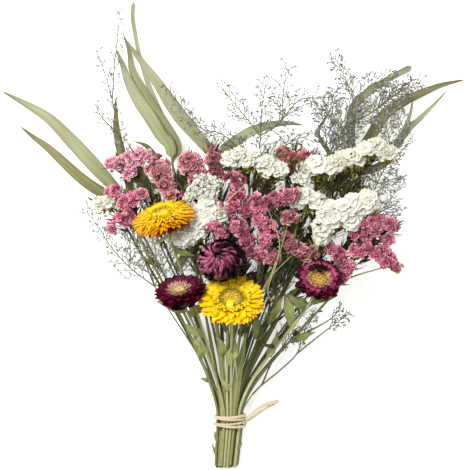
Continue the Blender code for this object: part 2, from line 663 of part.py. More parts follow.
def spike(name, spray, run, draw, room):
    """One run of a head: a thin spine and the florets that stand on it in two or three rows."""
    balls = [spray["balls"][k] for k in run]
    points = np.array([b[:3] for b in balls], float)
    sizes = np.array([b[3] for b in balls], float)
    start, end = unit(points[0] - points[1]), unit(points[-1] - points[-2])
    inner = sizes[0] * HEAD_OVERHANG if run[0] == 0 else 0.0
    outer = sizes[-1] * HEAD_OVERHANG
    line = curve(np.vstack((points[0] + start * inner, points, points[-1] + end * outer)), 0.5)
    walked = np.r_[0, np.cumsum(np.linalg.norm(np.diff(line, axis=0), axis=1))]
    marks = np.r_[0, np.cumsum(np.linalg.norm(np.diff(points, axis=0), axis=1))] + inner
    path = thinned(line, 1.0)
    shares = np.r_[0, np.cumsum(np.linalg.norm(np.diff(path, axis=0), axis=1))]
    radii = spine_radius(np.interp(shares, marks, sizes))
    radii[0] *= 0.7
    radii[-1] = 0
    shapes = [tube(path, radii, 3)]
    walk, row = 0.0, 0
    while walk < walked[-1]:
        reach = float(np.interp(walk, marks, sizes))
        radius = min(max(reach * FLORET_SHARE, FLORET_LIMITS[0]), FLORET_LIMITS[1])
        centre = np.array([np.interp(walk, walked, line[:, k]) for k in range(3)])
        onward = np.array([np.interp(walk + 1, walked, line[:, k]) for k in range(3)])
        backward = np.array([np.interp(walk - 1, walked, line[:, k]) for k in range(3)])
        ahead = unit(onward - backward)
        up = unit(HEAD_OUT - ahead * (HEAD_OUT @ ahead))
        side = np.cross(ahead, up)
        rows = BROAD_ROWS if reach >= BROAD_HEAD else SLIM_ROWS
        for _ in range(len(BROAD_ROWS)):
            lean = rows[row % len(rows)] + draw.uniform(-0.18, 0.18)
            way = unit(up * math.cos(lean) + side * math.sin(lean) + ahead * draw.uniform(-0.3, 0.3))
            height = reach * draw.uniform(0.92, 1.12)
            mouth = (centre + way * height * 0.72, centre + way * height)
            row += 1
            if room.free((name + " balls",), mouth, radius * 0.66):
                shapes.append(floret(centre, way, radius, height, draw.uniform(0, 2)))
                room.take(f"{name} floret {len(room.owners)}", mouth, radius * 0.66)
                break
        walk += radius * FLORET_STEP
    return shapes


def head_shapes(name, spray, seed, room):
    """The spines and florets of every run of a head."""
    draw = random.Random(seed)
    shapes = []
    for run in head_runs(spray):
        shapes += spike(name, spray, run, draw, room)
    return shapes


def seated(branch, head):
    """The branch with its end run on towards the head until it nearly touches it."""
    corners = [vertex.co / MM for vertex in head.data.vertices]
    tree = BVHTree.FromPolygons(corners, [face.vertices for face in head.data.polygons])
    best, nearest = branch[-1], math.inf
    for step in range(int(SEAT_MOST / SEAT_STEP)):
        tip = branch[-1] + HEAD_OUT * step * SEAT_STEP
        distance = tree.find_nearest(Vector(tip))[3]
        if distance < nearest:
            best, nearest = tip, distance
        if distance <= BRANCH_SEAT:
            break
    return np.vstack((branch[:-1], best))


def lower_stem(slot, draw):
    """The stem from its cut end up to the tie."""
    over = slot[0] - TIE_X
    cut_x = TIE_X + CUT_SHIFT[0] + over * CUT_SQUEEZE
    cut_y = CUT_Y + draw.uniform(0, 3.0)
    return [(cut_x, cut_y, slot[2] + CUT_SHIFT[1]), (slot[0], TIE_Y - 3, slot[2] - 0.2)]


def whole_stem(slot, main, draw, sides):
    """The whole stem: cut end, tie and the bent part above it."""
    path = np.vstack((lower_stem(slot, draw), thinned(main, STEM_FIT)))
    radii = np.full(len(path), STEM_RADIUS)
    share = np.linspace(0, 1, len(path) - 2)
    radii[2:] = STEM_RADIUS * (1 - STEM_TAPER * share)
    return tube(path, radii, sides)


def leaf_shapes(name, main, room):
    """The stem's own leaves, each a short arched blade rooted in it."""
    shapes = []
    for stem, share, reach, width in LEAVES:
        if stem != name:
            continue
        root = main[int(share * (len(main) - 1))]
        tip = root + np.array(reach)
        middle = root + np.array(reach) * 0.45 + np.array((0, 0, LEAF_ARCH * 0.9))
        shapes.append(blade((root, middle, tip), (1.4, width, 0), (0, 0, 1), LEAF_THICK))
        room.take(name, (root, middle, tip), width * 0.4)
    return shapes


def flower_frame(flower):
    """A flower's middle and its own three directions, the last one out of its face."""
    face = unit(flower["faces"])
    side = unit(np.cross((0, 1, 0), face))
    return np.array(flower["at"], float), side, np.cross(face, side), face


def place(frame, radial, angle, height):
    """A point of a flower from its distance to the axis, its angle and its height over the disc."""
    at, side, other, face = frame
    return at + (side * math.cos(angle) + other * math.sin(angle)) * radial + face * height


def open_flower(name, flower, room, draw):
    """Bracts drawn out of the wall of a flat receptacle, ring over ring, and the disc in its middle."""
    frame = flower_frame(flower)
    size, disc, count = flower["radius"], flower["disc"], flower["count"]
    depth, sides = size * 0.36, 2 * count
    wall = [(disc * 0.50, -depth), (disc * 0.92, -depth * 0.80), (disc * 1.06, -depth * 0.52),
            (disc * 1.04, -depth * 0.30), (disc * 0.99, -DISC_SEAT)]
    mesh = bmesh.new()
    loops = [[mesh.verts.new(Vector(place(frame, radial, 2 * math.pi * (n - 0.5) / sides, height)))
              for n in range(sides)] for radial, height in wall]
    mesh.faces.new(tuple(reversed(loops[0])))
    mesh.faces.new(tuple(loops[-1]))
    for n in range(sides):
        after = (n + 1) % sides
        mesh.faces.new((loops[0][n], loops[0][after], loops[1][after], loops[1][n]))
        for ring, (reach, rise, width) in enumerate(flower["rings"]):
            low, high = loops[ring + 1], loops[ring + 2]
            base = (low[n], low[after], high[after], high[n])
            if n % 2 != ring % 2:
                mesh.faces.new(base)
                continue
            angle = 2 * math.pi * n / sides + draw.uniform(-0.03, 0.03)
            long = size * reach * draw.uniform(0.97, 1.03)
            root_height = (wall[ring + 1][1] + wall[ring + 2][1]) / 2
            middle = place(frame, long * 0.68, angle, root_height * 0.3 + size * rise * 0.75)
            tip = mesh.verts.new(Vector(place(frame, long, angle, size * rise)))
            at, side, other, face = frame
            aside = (other * math.cos(angle) - side * math.sin(angle)) * size * width / 2
            lift = face * BRACT_THICK / 2
            broad = [mesh.verts.new(Vector(middle + shift))
                     for shift in (-aside - lift, aside - lift, aside + lift, -aside + lift)]
            for a in range(4):
                b = (a + 1) % 4
                mesh.faces.new((base[a], base[b], broad[b], broad[a]))
                mesh.faces.new((broad[a], broad[b], tip))
            root = place(frame, disc, angle, root_height)
            room.take(name, (root, middle, np.array(tip.co)), size * width * 0.4)
    bmesh.ops.triangulate(mesh, faces=mesh.faces)
    bmesh.ops.recalc_face_normals(mesh, faces=mesh.faces)
    mesh.verts.index_update()
    corners = [np.array(v.co) for v in mesh.verts]
    faces = [tuple(v.index for v in face.verts) for face in mesh.faces]
    mesh.free()
    add_piece(name + "_bracts", [(corners, faces)], flower["colour"])
    dome = [(disc * 0.25, 1.6), (disc * 0.6, 1.2), (disc * 0.86, 0.4), (disc * 0.92, GAP - DISC_SEAT)]
    finish = "disc_cream" if "burgundy" in name else "disc_yellow"
    add_piece(name + "_disc", [relief(frame, dome, 14, 0.5)], finish, smooth=True)


def relief(frame, profile, sides, bump):
    """The disc: a low dome whose surface rises and falls in a spiral of tiny florets."""
    at, side, other, face = frame
    corners = [at + face * profile[0][1]]
    for k, (radial, height) in enumerate(profile):
        for n in range(sides):
            wave = bump * (0.5 if (n + k) % 2 else -0.5) * (k < len(profile) - 1)
            corners.append(place(frame, radial, 2 * math.pi * (n + 0.5 * (k % 2)) / sides, height + wave))
    faces = [(0, 1 + n, 1 + (n + 1) % sides) for n in range(sides)]
    for k in range(len(profile) - 1):
        for n in range(sides):
            a, b = 1 + k * sides + n, 1 + k * sides + (n + 1) % sides
            faces.append((a, b + sides, b) if k % 2 else (a, a + sides, b))
            faces.append((a, a + sides, b + sides) if k % 2 else (b, a + sides, b + sides))
    faces.append(tuple(range(1 + (len(profile) - 1) * sides, 1 + len(profile) * sides)))
    return corners, faces


def closed_flower(name, flower, room):
    """A flower still shut: a dome whose surface rises in rows of pointed scales that turn in at its top."""
    frame = flower_frame(flower)
    size, tall, count = flower["radius"], flower["height"], flower["count"]
    sides = 2 * count
    rows = [(size * 0.30, -tall * 0.82, 0.0)]
    for number, (low_turn, high_turn) in enumerate(flower["scales"]):
        for turn, out, tooth in ((low_turn, 0.84, 0.0), (high_turn, 1.0, 1.0)):
            flat = max(math.cos(turn), 0.12)
            rows.append((size * out * flat, tall * out * math.sin(turn), tooth if number % 2 else -tooth))
    corners = []
    for radial, height, tooth in rows:
        for n in range(sides):
            point_out = tooth * (1 if n % 2 else -1)
            corners.append(place(frame, radial * (1 + 0.05 * point_out), 2 * math.pi * n / sides,
                                 height + 0.10 * tall * point_out))
    corners.append(place(frame, 0, 0, rows[0][1]))
    corners.append(place(frame, 0, 0, rows[-1][1] - 0.04 * tall))
    faces = []
    for k in range(len(rows) - 1):
        for n in range(sides):
            a, b = k * sides + n, k * sides + (n + 1) % sides
            flip = n % 2 == 0
            faces.append((a, b, b + sides) if flip else (a, b, a + sides))
            faces.append((a, b + sides, a + sides) if flip else (b, b + sides, a + sides))
    last = (len(rows) - 1) * sides
    for n in range(sides):
        faces.append((len(rows) * sides, (n + 1) % sides, n))
        faces.append((len(rows) * sides + 1, last + n, last + (n + 1) % sides))
    room.take(name, (place(frame, 0, 0, -tall * 0.2), place(frame, 0, 0, tall * 0.1)), size)
    add_piece(name + "_bracts", [(corners, faces)], "strawflower_burgundy")


def neck(flower, closed):
    """Where the stem enters a flower's back, and the flower's face direction."""
    face = unit(flower["faces"])
    depth = flower["height"] * 0.82 if closed else flower["radius"] * 0.36
    return np.array(flower["at"], float) - face * (depth + GAP), face


def eucalyptus_shapes(leaves):
    """Long leaves, narrow at the root, broadest below the middle and drawn out to a point."""
    shapes = []
    for points, width in leaves:
        path = thinned(curve(points, 4.0), 0.85)
        share = np.r_[0, np.cumsum(np.linalg.norm(np.diff(path, axis=0), axis=1))]
        share = share / share[-1]
        widths = width * np.clip(np.sin(np.pi * (share * 0.86 + 0.14) ** 0.75), 0.14, 1)
        widths[0] = 1.8
        shapes.append(blade(path, widths, (0, 0, 1), 1.0))
    return shapes


def caspia_shapes(name, slot, main, stalks, room, draw):
    """The stem, the stalks that it forks into, and their twigs, each thickened to a bud at its end."""
    shapes = []
    for number, stalk in enumerate(stalks):
        path = thinned(curve(stalk, 4.0), 1.5)
        ahead = unit(path[-1] - path[-2])
        path = np.vstack((path, path[-1] + ahead * 3.0))
        radii = [*np.linspace(0.55, 0.42, len(path) - 2), 1.0, 0]
        if number == 0:
            stem = np.vstack((lower_stem(slot, draw), thinned(main, STEM_FIT)))
            radii = [*np.linspace(STEM_RADIUS * 0.85, 0.6, len(stem)), *radii[1:]]
            path = np.vstack((stem, path[1:]))
        shapes.append(tube(path, radii, 3))
        room.take(name, path, 0.6)
    for number, stalk in enumerate(stalks):
        line = curve(stalk, 4.0)
        count = CASPIA_TWIGS[name]
        for n in range(count):
            share = 0.25 + 0.70 * (n + 0.5) / count
            at = line[int(share * (len(line) - 1))]
            ahead = unit(line[-1] - at)
            side, other = across(ahead)
            for attempt in range(8):
                angle = n * math.pi + number + attempt * 0.8 + draw.uniform(-0.4, 0.4)
                out = side * math.cos(angle) + other * math.sin(angle) * 0.5
                length = draw.uniform(9, 14) * (1.25 - 0.5 * share)
                way = unit(ahead * 0.9 + out)
                tip = at + way * length
                if tip[2] > 3 and room.free((name,), (at, tip), 1.3):
                    shapes.append(tube((at, tip - way * 2.2, tip), (0.4, 1.0, 0), 3))
                    room.take(name, (at, tip), 1.2)
                    break
    return shapes


def band(offset_y, tilt, width, thick, sides):
    """A flat loop of raffia round the bundle of stems."""
    section = ((0, -1), (1, -0.7), (1, 0.7), (0, 1))
    corners, faces = [], []
    for k in range(sides):
        angle = 2 * math.pi * k / sides
        for deep, along in section:
            x = (BUNDLE_HALF[0] + thick * deep) * math.cos(angle)
            z = (BUNDLE_HALF[1] + thick * deep) * math.sin(angle)
            y = TIE_Y + offset_y + along * width / 2 + tilt * math.cos(angle)
            corners.append((TIE_X + x, y, TIE_Z + z))
    for k in range(sides):
        after = (k + 1) % sides
        for n in range(4):
            a, b = 4 * k + n, 4 * k + (n + 1) % 4
            c, d = 4 * after + n, 4 * after + (n + 1) % 4
            faces.append((a, b, d, c))
    return corners, faces


def raffia():
    """Two turns of raffia, the knot at the right and the looped end that stands out of it."""
    knot = np.array((TIE_X + 12.9, TIE_Y + 1.0, TIE_Z + 1.5))
    end = (38.5, -141.5, 10.5)
    upper = curve((knot, (14.5, -153.5, 14.5), (19, -149.5, 14.5), (27, -144.5, 13.0), end), 5.0)
    lower = curve((knot, (15.5, -156.5, 12.0), (22, -151.5, 11.0), (31, -146.0, 10.0), end), 5.0)
    shapes = [band(1.8, 0.5, 5.6, 0.8, 14), band(-3.2, -1.0, 3.4, 1.0, 14)]
    shapes.append(ball(knot, (2.0, 3.4, 2.6)))
    shapes.append(tube(thinned(upper, 0.2), 1.35, 5))
    shapes.append(tube(thinned(lower, 0.2), 1.1, 5))
    add_piece("raffia_tie", shapes, "raffia")


def build():
    clear_scene()
    place_of, room, strands = slots(), Room(), Strands()
    heads, mains, branches = [], {}, {}
    for name, flower in (*STRAWFLOWERS.items(), *BUDS.items()):
        end, face = neck(flower, name in BUDS)
        mains[name] = strands.add(name, bent(place_of[name], end, face, 0.32), STEM_RADIUS)
        spread = flower["radius"] * (1.02 if name in BUDS else 0.55)
        heads.append((name, np.array(flower["at"], float) - face * 3, spread))
    for name, spray in (*PINK.items(), *WHITE.items()):
        main, fingers = spray_plan(name, spray, place_of[name])
        mains[name] = strands.add(name, main, STEM_RADIUS)
        branches[name] = [strands.add(name, finger, BRANCH_RADIUS) for finger in fingers]
        heads.extend((name, b[:3], b[3] * 0.8) for b in spray["balls"])
    for name, leaves in EUCALYPTUS.items():
        end = np.array(leaves[0][0][0], float)
        mains[name] = strands.add(name, bent(place_of[name], end, end - place_of[name], 0.3), STEM_RADIUS)
        for points, width in leaves:
            strands.add(name, curve(points, 4.0), width * 0.3, fixed=True)
    for name, stalks in CASPIA.items():
        end = np.array(stalks[0][0], float)
        main = bent(place_of[name], end, end - place_of[name], 0.3)
        mains[name] = strands.add(name, main, STEM_RADIUS * 0.85)
        for stalk in stalks:
            strands.add(name, curve(stalk, 4.0), 0.8, fixed=True)
    strands.relax(heads)
    for name, index in mains.items():
        room.take(name, strands.rows[index], STEM_RADIUS)
        for finger in branches.get(name, ()):
            room.take(name, strands.rows[finger], BRANCH_RADIUS)
    for name, leaves in EUCALYPTUS.items():
        for points, width in leaves:
            room.take(name, curve(points, 6.0), width * 0.4)
    for number, (name, flower) in enumerate(STRAWFLOWERS.items()):
        open_flower(name, flower, room, random.Random(20 + number))
    for name, flower in BUDS.items():
        closed_flower(name, flower, room)
    for name, spray in (*PINK.items(), *WHITE.items()):
        for b in spray["balls"]:
            room.take(name + " balls", ((b[0], b[1], b[2]), (b[0], b[1], b[2] + 0.1)), b[3] * 0.6)
    for number, (name, spray) in enumerate((*PINK.items(), *WHITE.items())):
        finish = "statice_pink" if name in PINK else "statice_white"
        head = add_piece(name + "_florets", head_shapes(name, spray, 60 + number, room), finish)
        for finger in branches[name]:
            strands.rows[finger] = seated(strands.rows[finger], head)
    build_stems(place_of, room, strands, mains, branches)
    for number, (name, stalks) in enumerate(CASPIA.items()):
        main = strands.rows[mains[name]]
        shapes = caspia_shapes(name, place_of[name], main, stalks, room, random.Random(120 + number))
        add_piece(name, shapes, "caspia_grey")
    for number, (name, leaves) in enumerate(EUCALYPTUS.items()):
        stem = whole_stem(place_of[name], strands.rows[mains[name]], random.Random(140 + number), 5)
        add_piece(name, [stem] + eucalyptus_shapes(leaves), "eucalyptus_sage")
    raffia()


def build_stems(place_of, room, strands, mains, branches):
    """Flower stems with their leaves, and statice stems with their branches."""
    for number, name in enumerate((*STRAWFLOWERS, *BUDS)):
        draw = random.Random(160 + number)
        main = strands.rows[mains[name]]
        stem = whole_stem(place_of[name], main, draw, 4)
        leaves = leaf_shapes(name, main, room)
        add_piece(name + "_stem", [stem] + leaves, "stem_straw")
    for number, name in enumerate((*PINK, *WHITE)):
        draw = random.Random(180 + number)
        main = strands.rows[mains[name]]
        stem = whole_stem(place_of[name], main, draw, 4)
        shapes = [stem]
        for finger in branches[name]:
            path = thinned(strands.rows[finger], BRANCH_FIT)
            shapes.append(tube(path, np.linspace(BRANCH_RADIUS, 0.55, len(path)), 3))
        add_piece(name + "_stem", shapes + leaf_shapes(name, main, room), "stem_green")


build()
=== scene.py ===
import json
import math
import random

import bpy
import numpy as np
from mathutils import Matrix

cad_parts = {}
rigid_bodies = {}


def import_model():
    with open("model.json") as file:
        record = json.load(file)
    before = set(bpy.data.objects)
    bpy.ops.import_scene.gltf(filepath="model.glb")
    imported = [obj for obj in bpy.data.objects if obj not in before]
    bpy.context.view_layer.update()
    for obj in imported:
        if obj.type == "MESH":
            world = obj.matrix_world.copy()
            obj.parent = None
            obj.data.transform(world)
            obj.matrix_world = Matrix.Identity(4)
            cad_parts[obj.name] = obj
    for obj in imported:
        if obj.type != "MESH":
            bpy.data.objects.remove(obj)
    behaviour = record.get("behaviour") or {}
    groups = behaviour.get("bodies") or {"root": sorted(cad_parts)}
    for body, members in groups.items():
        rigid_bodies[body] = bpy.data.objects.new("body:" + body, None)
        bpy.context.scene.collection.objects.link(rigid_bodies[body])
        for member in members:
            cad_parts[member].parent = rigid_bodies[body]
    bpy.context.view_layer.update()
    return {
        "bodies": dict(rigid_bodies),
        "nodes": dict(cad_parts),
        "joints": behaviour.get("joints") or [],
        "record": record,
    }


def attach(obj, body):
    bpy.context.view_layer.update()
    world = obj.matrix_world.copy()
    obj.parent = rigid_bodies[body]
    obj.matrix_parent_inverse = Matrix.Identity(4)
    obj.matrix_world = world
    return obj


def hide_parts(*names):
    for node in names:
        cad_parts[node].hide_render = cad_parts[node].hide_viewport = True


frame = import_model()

# The table, the light and the camera.
# The bunch lies on a plain white light table and is looked at from straight above, as in the photograph,
# whose frame is 0.4 m wide. White light comes from all round, and a soft lamp stands over its upper left.
PHOTO_SIDE, PHOTO_MIDDLE, PHOTO_PLANE = 0.3995, (0.0013, -0.0004), 0.02
CAMERA_HEIGHT, CAMERA_SIGHT, SENSOR = 12.0, 40.0, 36.0
TABLE_SIDE, TABLE_TOP, TABLE_GLOW = 8.0, -0.0004, 0.46
SKY_STRENGTH = 0.60
# Each lamp: its place in metres, its power in watts and the side of its square.
LAMPS = {"key": ((-0.9, 0.9, 2.1), 60.0, 0.8), "fill": ((1.4, -0.6, 1.8), 7.0, 1.4)}


def linear(hex_colour):
    """A #rrggbb colour as linear RGBA."""
    parts = [int(hex_colour[i:i + 2], 16) / 255 for i in (1, 3, 5)]
    return (*[p / 12.92 if p <= 0.04045 else ((p + 0.055) / 1.055) ** 2.4 for p in parts], 1.0)


def add_node(tree, kind, values=None, links=None, **settings):
    """Adds a node with its settings, the values of its inputs and the links to them."""
    made = tree.nodes.new(kind)
    for key, value in settings.items():
        setattr(made, key, value)
    for key, value in (values or {}).items():
        made.inputs[key].default_value = value
    for key, socket in (links or {}).items():
        tree.links.new(socket, made.inputs[key])
    return made


bpy.ops.mesh.primitive_plane_add(size=TABLE_SIDE, location=(0, 0, TABLE_TOP))
table = bpy.context.object
table.name = "table"
table_paint = bpy.data.materials.new("opal_acrylic")
table_paint.use_nodes = True
for key, value in {"Base Color": linear("#fdfdfc"), "Roughness": 0.9, "Emission Color": linear("#ffffff"),
                   "Emission Strength": TABLE_GLOW}.items():
    table_paint.node_tree.nodes["Principled BSDF"].inputs[key].default_value = value
table.data.materials.append(table_paint)

world = bpy.data.worlds.new("studio")
world.use_nodes = True
world.node_tree.nodes["Background"].inputs["Color"].default_value = linear("#ffffff")
world.node_tree.nodes["Background"].inputs["Strength"].default_value = SKY_STRENGTH
bpy.context.scene.world = world
bpy.context.scene.view_settings.view_transform = "Standard"

for lamp_name, (spot, power, side) in LAMPS.items():
    lamp = bpy.data.lights.new(lamp_name, "AREA")
    lamp.energy = power
    lamp.size = side
    holder = bpy.data.objects.new(lamp_name, lamp)
    holder.location = spot
    aim = np.arctan2(math.hypot(spot[0], spot[1]), spot[2])
    holder.rotation_euler = (aim, 0.0, math.atan2(spot[0], -spot[1]))
    bpy.context.scene.collection.objects.link(holder)

eye = bpy.data.cameras.new("camera")
eye.sensor_width = SENSOR
eye.lens = SENSOR * (CAMERA_HEIGHT - PHOTO_PLANE) / PHOTO_SIDE
eye.clip_end = CAMERA_SIGHT
camera = bpy.data.objects.new("camera", eye)
camera.location = (*PHOTO_MIDDLE, CAMERA_HEIGHT)
bpy.context.scene.collection.objects.link(camera)
bpy.context.scene.camera = camera

# The stems of the strawflowers and the statice.
# Thirty-two dry stems stand side by side in the tie and fan out above it. They are hollow ribbed stalks,
# tan or olive, and those of the statice carry thin papery wings. Each ends under its flower or its head.
# All lengths from here on are millimetres. The cut ends, the tie and the foot of the fan lie at the first
# three values along the bunch, and below the tie the stems shift aside and draw together. A branch ends
# below the middle of its ball by a share of the ball's radius, SPINE_MOST at most, and by BRANCH_STOP.
MM = 0.001
CUT_Y, TIE_Y, FAN_Y = -198.5, -159.0, -150.0
TIE_X, TIE_Z = -3.0, 12.13
CUT_SHIFT, CUT_SQUEEZE = (-3.0, -6.1), 0.88
SLOT_PITCH, ROW_PITCH = 2.8, 2.5
STEM_RADIUS, BRANCH_RADIUS = 1.1, 0.75
SPINE_SHARE, SPINE_MOST, BRANCH_STOP = 0.34, 2.4, 0.9
HEAD_OUT = np.array((0.0, 0.5, 0.87))
GAP = 0.35
TIE_ROWS = (
    ("eucalyptus_left", "caspia_left", "eucalyptus_top", "eucalyptus_middle", "caspia_top_right",
     "eucalyptus_right"),
    ("white_left", "caspia_low_left", "pink_far_left", "caspia_middle", "pink_upper_right",
     "white_top_right", "caspia_right", "caspia_low_right"),
    ("pink_left", "pink_upper_left", "pink_top", "white_top", "white_fan", "white_right",
     "pink_right", "pink_low_right"),
    ("yellow_left", "white_lacy", "pink_centre", "burgundy_hidden", "pink_low_middle",
     "burgundy_right"),
    ("burgundy_left", "burgundy_dome", "yellow_front", "pink_centre_right"),
)
# Each strawflower: the middle of its disc, the way its stem enters, the way it leans, its radius, the
# radius that the stems keep clear of, its disc's radius or its height, how pressed or blunt it dried, and
# where round its rim it curls up and by how much.
STRAWFLOWERS = {
    "yellow_front": dict(at=(-1.5, -55, 84), faces=(0.0, 0.68, 0.73), radius=28.5, disc=12.5,
                         solid=29.5, blunt=0.86),
    "yellow_left": dict(at=(-60, 17, 84), faces=(-0.26, 0.85, 0.46), radius=27.5, disc=8.0,
                        curl=(-0.85, 0.20)),
    "burgundy_right": dict(at=(72, -38, 80), faces=(0.10, 0.58, 0.81), radius=20.5, disc=9.6,
                           leans=(0.10, 0.58, 0.80), solid=21.5, blunt=0.82),
    "burgundy_left": dict(at=(-49, -46, 78), faces=(-0.30, 0.60, 0.74), radius=24.0, disc=6.6,
                          leans=(-0.30, 0.66, 0.66), solid=22.0, shift=(3.8, -1.7, 0), squash=0.73),
}
BUDS = {
    "burgundy_dome": dict(at=(-10, -22.5, 84), faces=(-0.12, 0.42, 0.90), radius=21.0, height=17.5,
                          leans=(-0.30, 0.32, 0.89), squash=0.86),
    "burgundy_hidden": dict(at=(17.5, -40.5, 46), faces=(0.25, 0.55, 0.80), radius=9.0, height=9.0),
}
# Statice heads: balls of florets as (x, y, z, radius, the ball it hangs on). A ball hangs on the one
# before it unless it names another. "branches" are the balls that a green branch runs to.
PINK = {
    "pink_far_left": dict(
        balls=((-104, 61, 45, 4.5), (-97, 63, 46, 5.0), (-89, 65, 47, 5.5), (-80, 68, 48, 6.5),
               (-73, 69, 48, 6.0), (-87, 55, 46, 6.0, 2)),
        branches=(1, 3, 5)),
    "pink_left": dict(
        balls=((-102, 39, 58, 5.0), (-93, 28, 61, 5.0), (-86, 32, 61, 5.5), (-79, 36, 60, 5.0),
               (-92, 15, 60, 7.0, 1), (-103, 6, 56, 4.5)),
        branches=(0, 2, 4)),
    "pink_upper_left": dict(
        balls=((-62, 56, 56, 11.5), (-58, 44, 57, 8.5), (-39, 63, 56, 9.5, 0), (-31, 51, 56, 8.0),
               (-51, 36, 60, 4.5, 1)),
        branches=(0, 1, 2, 3)),
    "pink_top": dict(balls=((-14, 57, 58, 8.0), (-17, 69, 57, 7.0)), branches=(0, 1)),
    "pink_centre": dict(
        balls=((1, 29, 76, 10.0), (11, 22, 78, 6.5), (4, 8, 82, 8.0), (-10, 2, 81, 6.0),
               (-19, 9, 83, 4.5), (11, -4, 80, 6.5, 2), (2, 47, 68, 7.5, 0)),
        branches=(0, 2, 6)),
    "pink_centre_right": dict(
        balls=((21, 27, 80, 6.0), (29, 28, 80, 6.0), (38, 31, 79, 6.5), (48, 35, 78, 5.5),
               (22, 14, 82, 6.5, 0), (30, 8, 82, 7.0), (27, -2, 82, 7.0), (25, -15, 80, 6.0),
               (15, -13, 79, 5.0), (34, -18, 79, 5.5, 7)),
        branches=(1, 3, 5, 7)),
    "pink_low_middle": dict(
        balls=((46, -3, 74, 5.0), (52, -9, 73, 5.5), (60, -14, 72, 5.5), (67, -15, 71, 5.0),
               (47, 15, 76, 7.0, 0)),
        branches=(1, 3, 4)),
    "pink_upper_right": dict(
        balls=((42, 69, 52, 5.5), (50, 67, 53, 6.0), (58, 66, 53, 6.0), (66, 65, 53, 5.0),
               (50, 57, 54, 6.0, 1)),
        branches=(1, 3, 4)),
    "pink_right": dict(
        balls=((106, 5, 62, 7.5), (113, 9, 63, 8.0), (122, 11, 63, 9.5), (133, 9, 62, 7.0),
               (129, -3, 61, 5.5, 2)),
        branches=(0, 2, 3)),
    "pink_low_right": dict(
        balls=((83, -10, 58, 6.5), (90, -18, 58, 7.0), (97, -26, 57, 6.5), (93, -34, 56, 6.0),
               (105, -13, 57, 6.0, 1), (116, -11, 57, 5.5), (125, -16, 57, 6.0), (132, -22, 56, 6.0),
               (138, -27, 55, 4.5)),
        branches=(1, 3, 5, 7)),
}
WHITE = {
    "white_left": dict(balls=((-112, 27, 46, 6.0), (-103, 29, 47, 6.5), (-94, 30, 46, 6.0)),
                       branches=(0, 2)),
    "white_lacy": dict(
        balls=((-27, 44, 67, 7.0), (-17, 42, 68, 7.0), (-22, 33, 69, 8.5, 0), (-22, 19, 70, 10.5),
               (-11, 18, 70, 6.0), (-31, 4, 69, 6.5, 3), (-39, 0, 68, 6.5), (-46, -3, 66, 5.0)),
        branches=(0, 3, 6)),
    "white_top": dict(
        balls=((-3, 65, 59, 7.5), (6, 67, 60, 8.5), (16, 66, 60, 8.0), (27, 62, 61, 8.0),
               (35, 56, 60, 9.0)),
        branches=(1, 3, 4)),
    "white_top_right": dict(
        balls=((61, 57, 56, 7.0), (70, 60, 57, 8.5), (80, 59, 57, 8.0), (92, 64, 57, 8.0),
               (101, 66, 57, 9.0), (112, 73, 56, 7.5), (121, 76, 56, 7.5), (131, 70, 55, 6.5)),
        branches=(1, 4, 6)),
    "white_fan": dict(balls=((52, 31, 66, 6.5), (61, 33, 67, 8.0), (70, 31, 66, 7.0), (57, 49, 62, 6.0, 1)),
                      branches=(0, 2, 3)),
    "white_right": dict(
        balls=((74, 1, 66, 5.0), (77, 10, 68, 8.0), (83, 20, 69, 10.0), (93, 23, 70, 9.0),
               (102, 27, 69, 9.5), (114, 31, 68, 8.0), (100, 15, 67, 7.5, 4)),
        branches=(1, 3, 5)),
}
# Caspia: bare stalks, each a list of points. The first stalk starts where the stem from the tie ends.
CASPIA = {
    "caspia_left": (
        ((-88, 48, 26), (-97, 84, 27), (-103, 114, 26), (-109, 136, 25), (-117, 157, 23)),
        ((-97, 84, 27), (-112, 100, 25), (-118, 112, 24)),
        ((-103, 114, 26), (-101, 145, 25), (-98, 172, 23), (-97, 192, 21)),
    ),
    "caspia_low_left": (
        ((-67, -44, 33), (-88, -28, 36), (-105, -9, 37), (-114, 6, 38), (-125, 20, 38)),
        ((-67, -44, 33), (-72, -22, 38), (-73, -4, 40)),
        ((-88, -28, 36), (-88, -8, 38), (-93, 5, 38)),
    ),
    "caspia_middle": (
        ((20, 56, 38), (23, 84, 39), (24, 106, 38), (28, 131, 36)),
        ((23, 84, 39), (40, 96, 38), (42, 118, 36), (45, 142, 34)),
        ((40, 96, 38), (56, 114, 37), (74, 116, 35), (89, 118, 34)),
        ((23, 84, 39), (1, 111, 38), (-10, 125, 36)),
        ((20, 56, 38), (48, 78, 38), (64, 84, 37)),
        ((20, 56, 38), (-8, 84, 38), (-30, 92, 37), (-56, 124, 35)),
    ),
    "caspia_top_right": (
        ((80, 62, 30), (90, 90, 32), (103, 113, 33), (96, 130, 32), (86, 151, 30)),
        ((103, 113, 33), (118, 128, 33), (136, 132, 31)),
        ((90, 90, 32), (118, 104, 34), (140, 120, 33), (159, 130, 32)),
        ((80, 62, 30), (78, 88, 33), (74, 106, 32)),
        ((90, 90, 32), (84, 104, 33), (87, 118, 32)),
    ),
    "caspia_right": (
        ((112, 12, 42), (122, 44, 45), (133, 63, 46), (145, 82, 46), (138, 106, 45)),
        ((133, 63, 46), (131, 86, 46), (124, 104, 44)),
        ((122, 44, 45), (106, 54, 43), (102, 62, 42)),
        ((122, 44, 45), (136, 42, 47), (140, 48, 47)),
        ((112, 12, 42), (130, 22, 46), (139, 26, 47)),
    ),
    "caspia_low_right": (
        ((16, -136, 15), (24, -128, 17), (40, -115, 20), (54, -101, 23), (59, -85, 26), (70, -66, 29)),
        ((59, -85, 26), (82, -72, 30), (91, -62, 31)),
        ((54, -101, 23), (78, -82, 28), (97, -68, 30)),
        ((24, -128, 17), (33, -108, 24), (44, -92, 27), (52, -80, 29)),
    ),
}
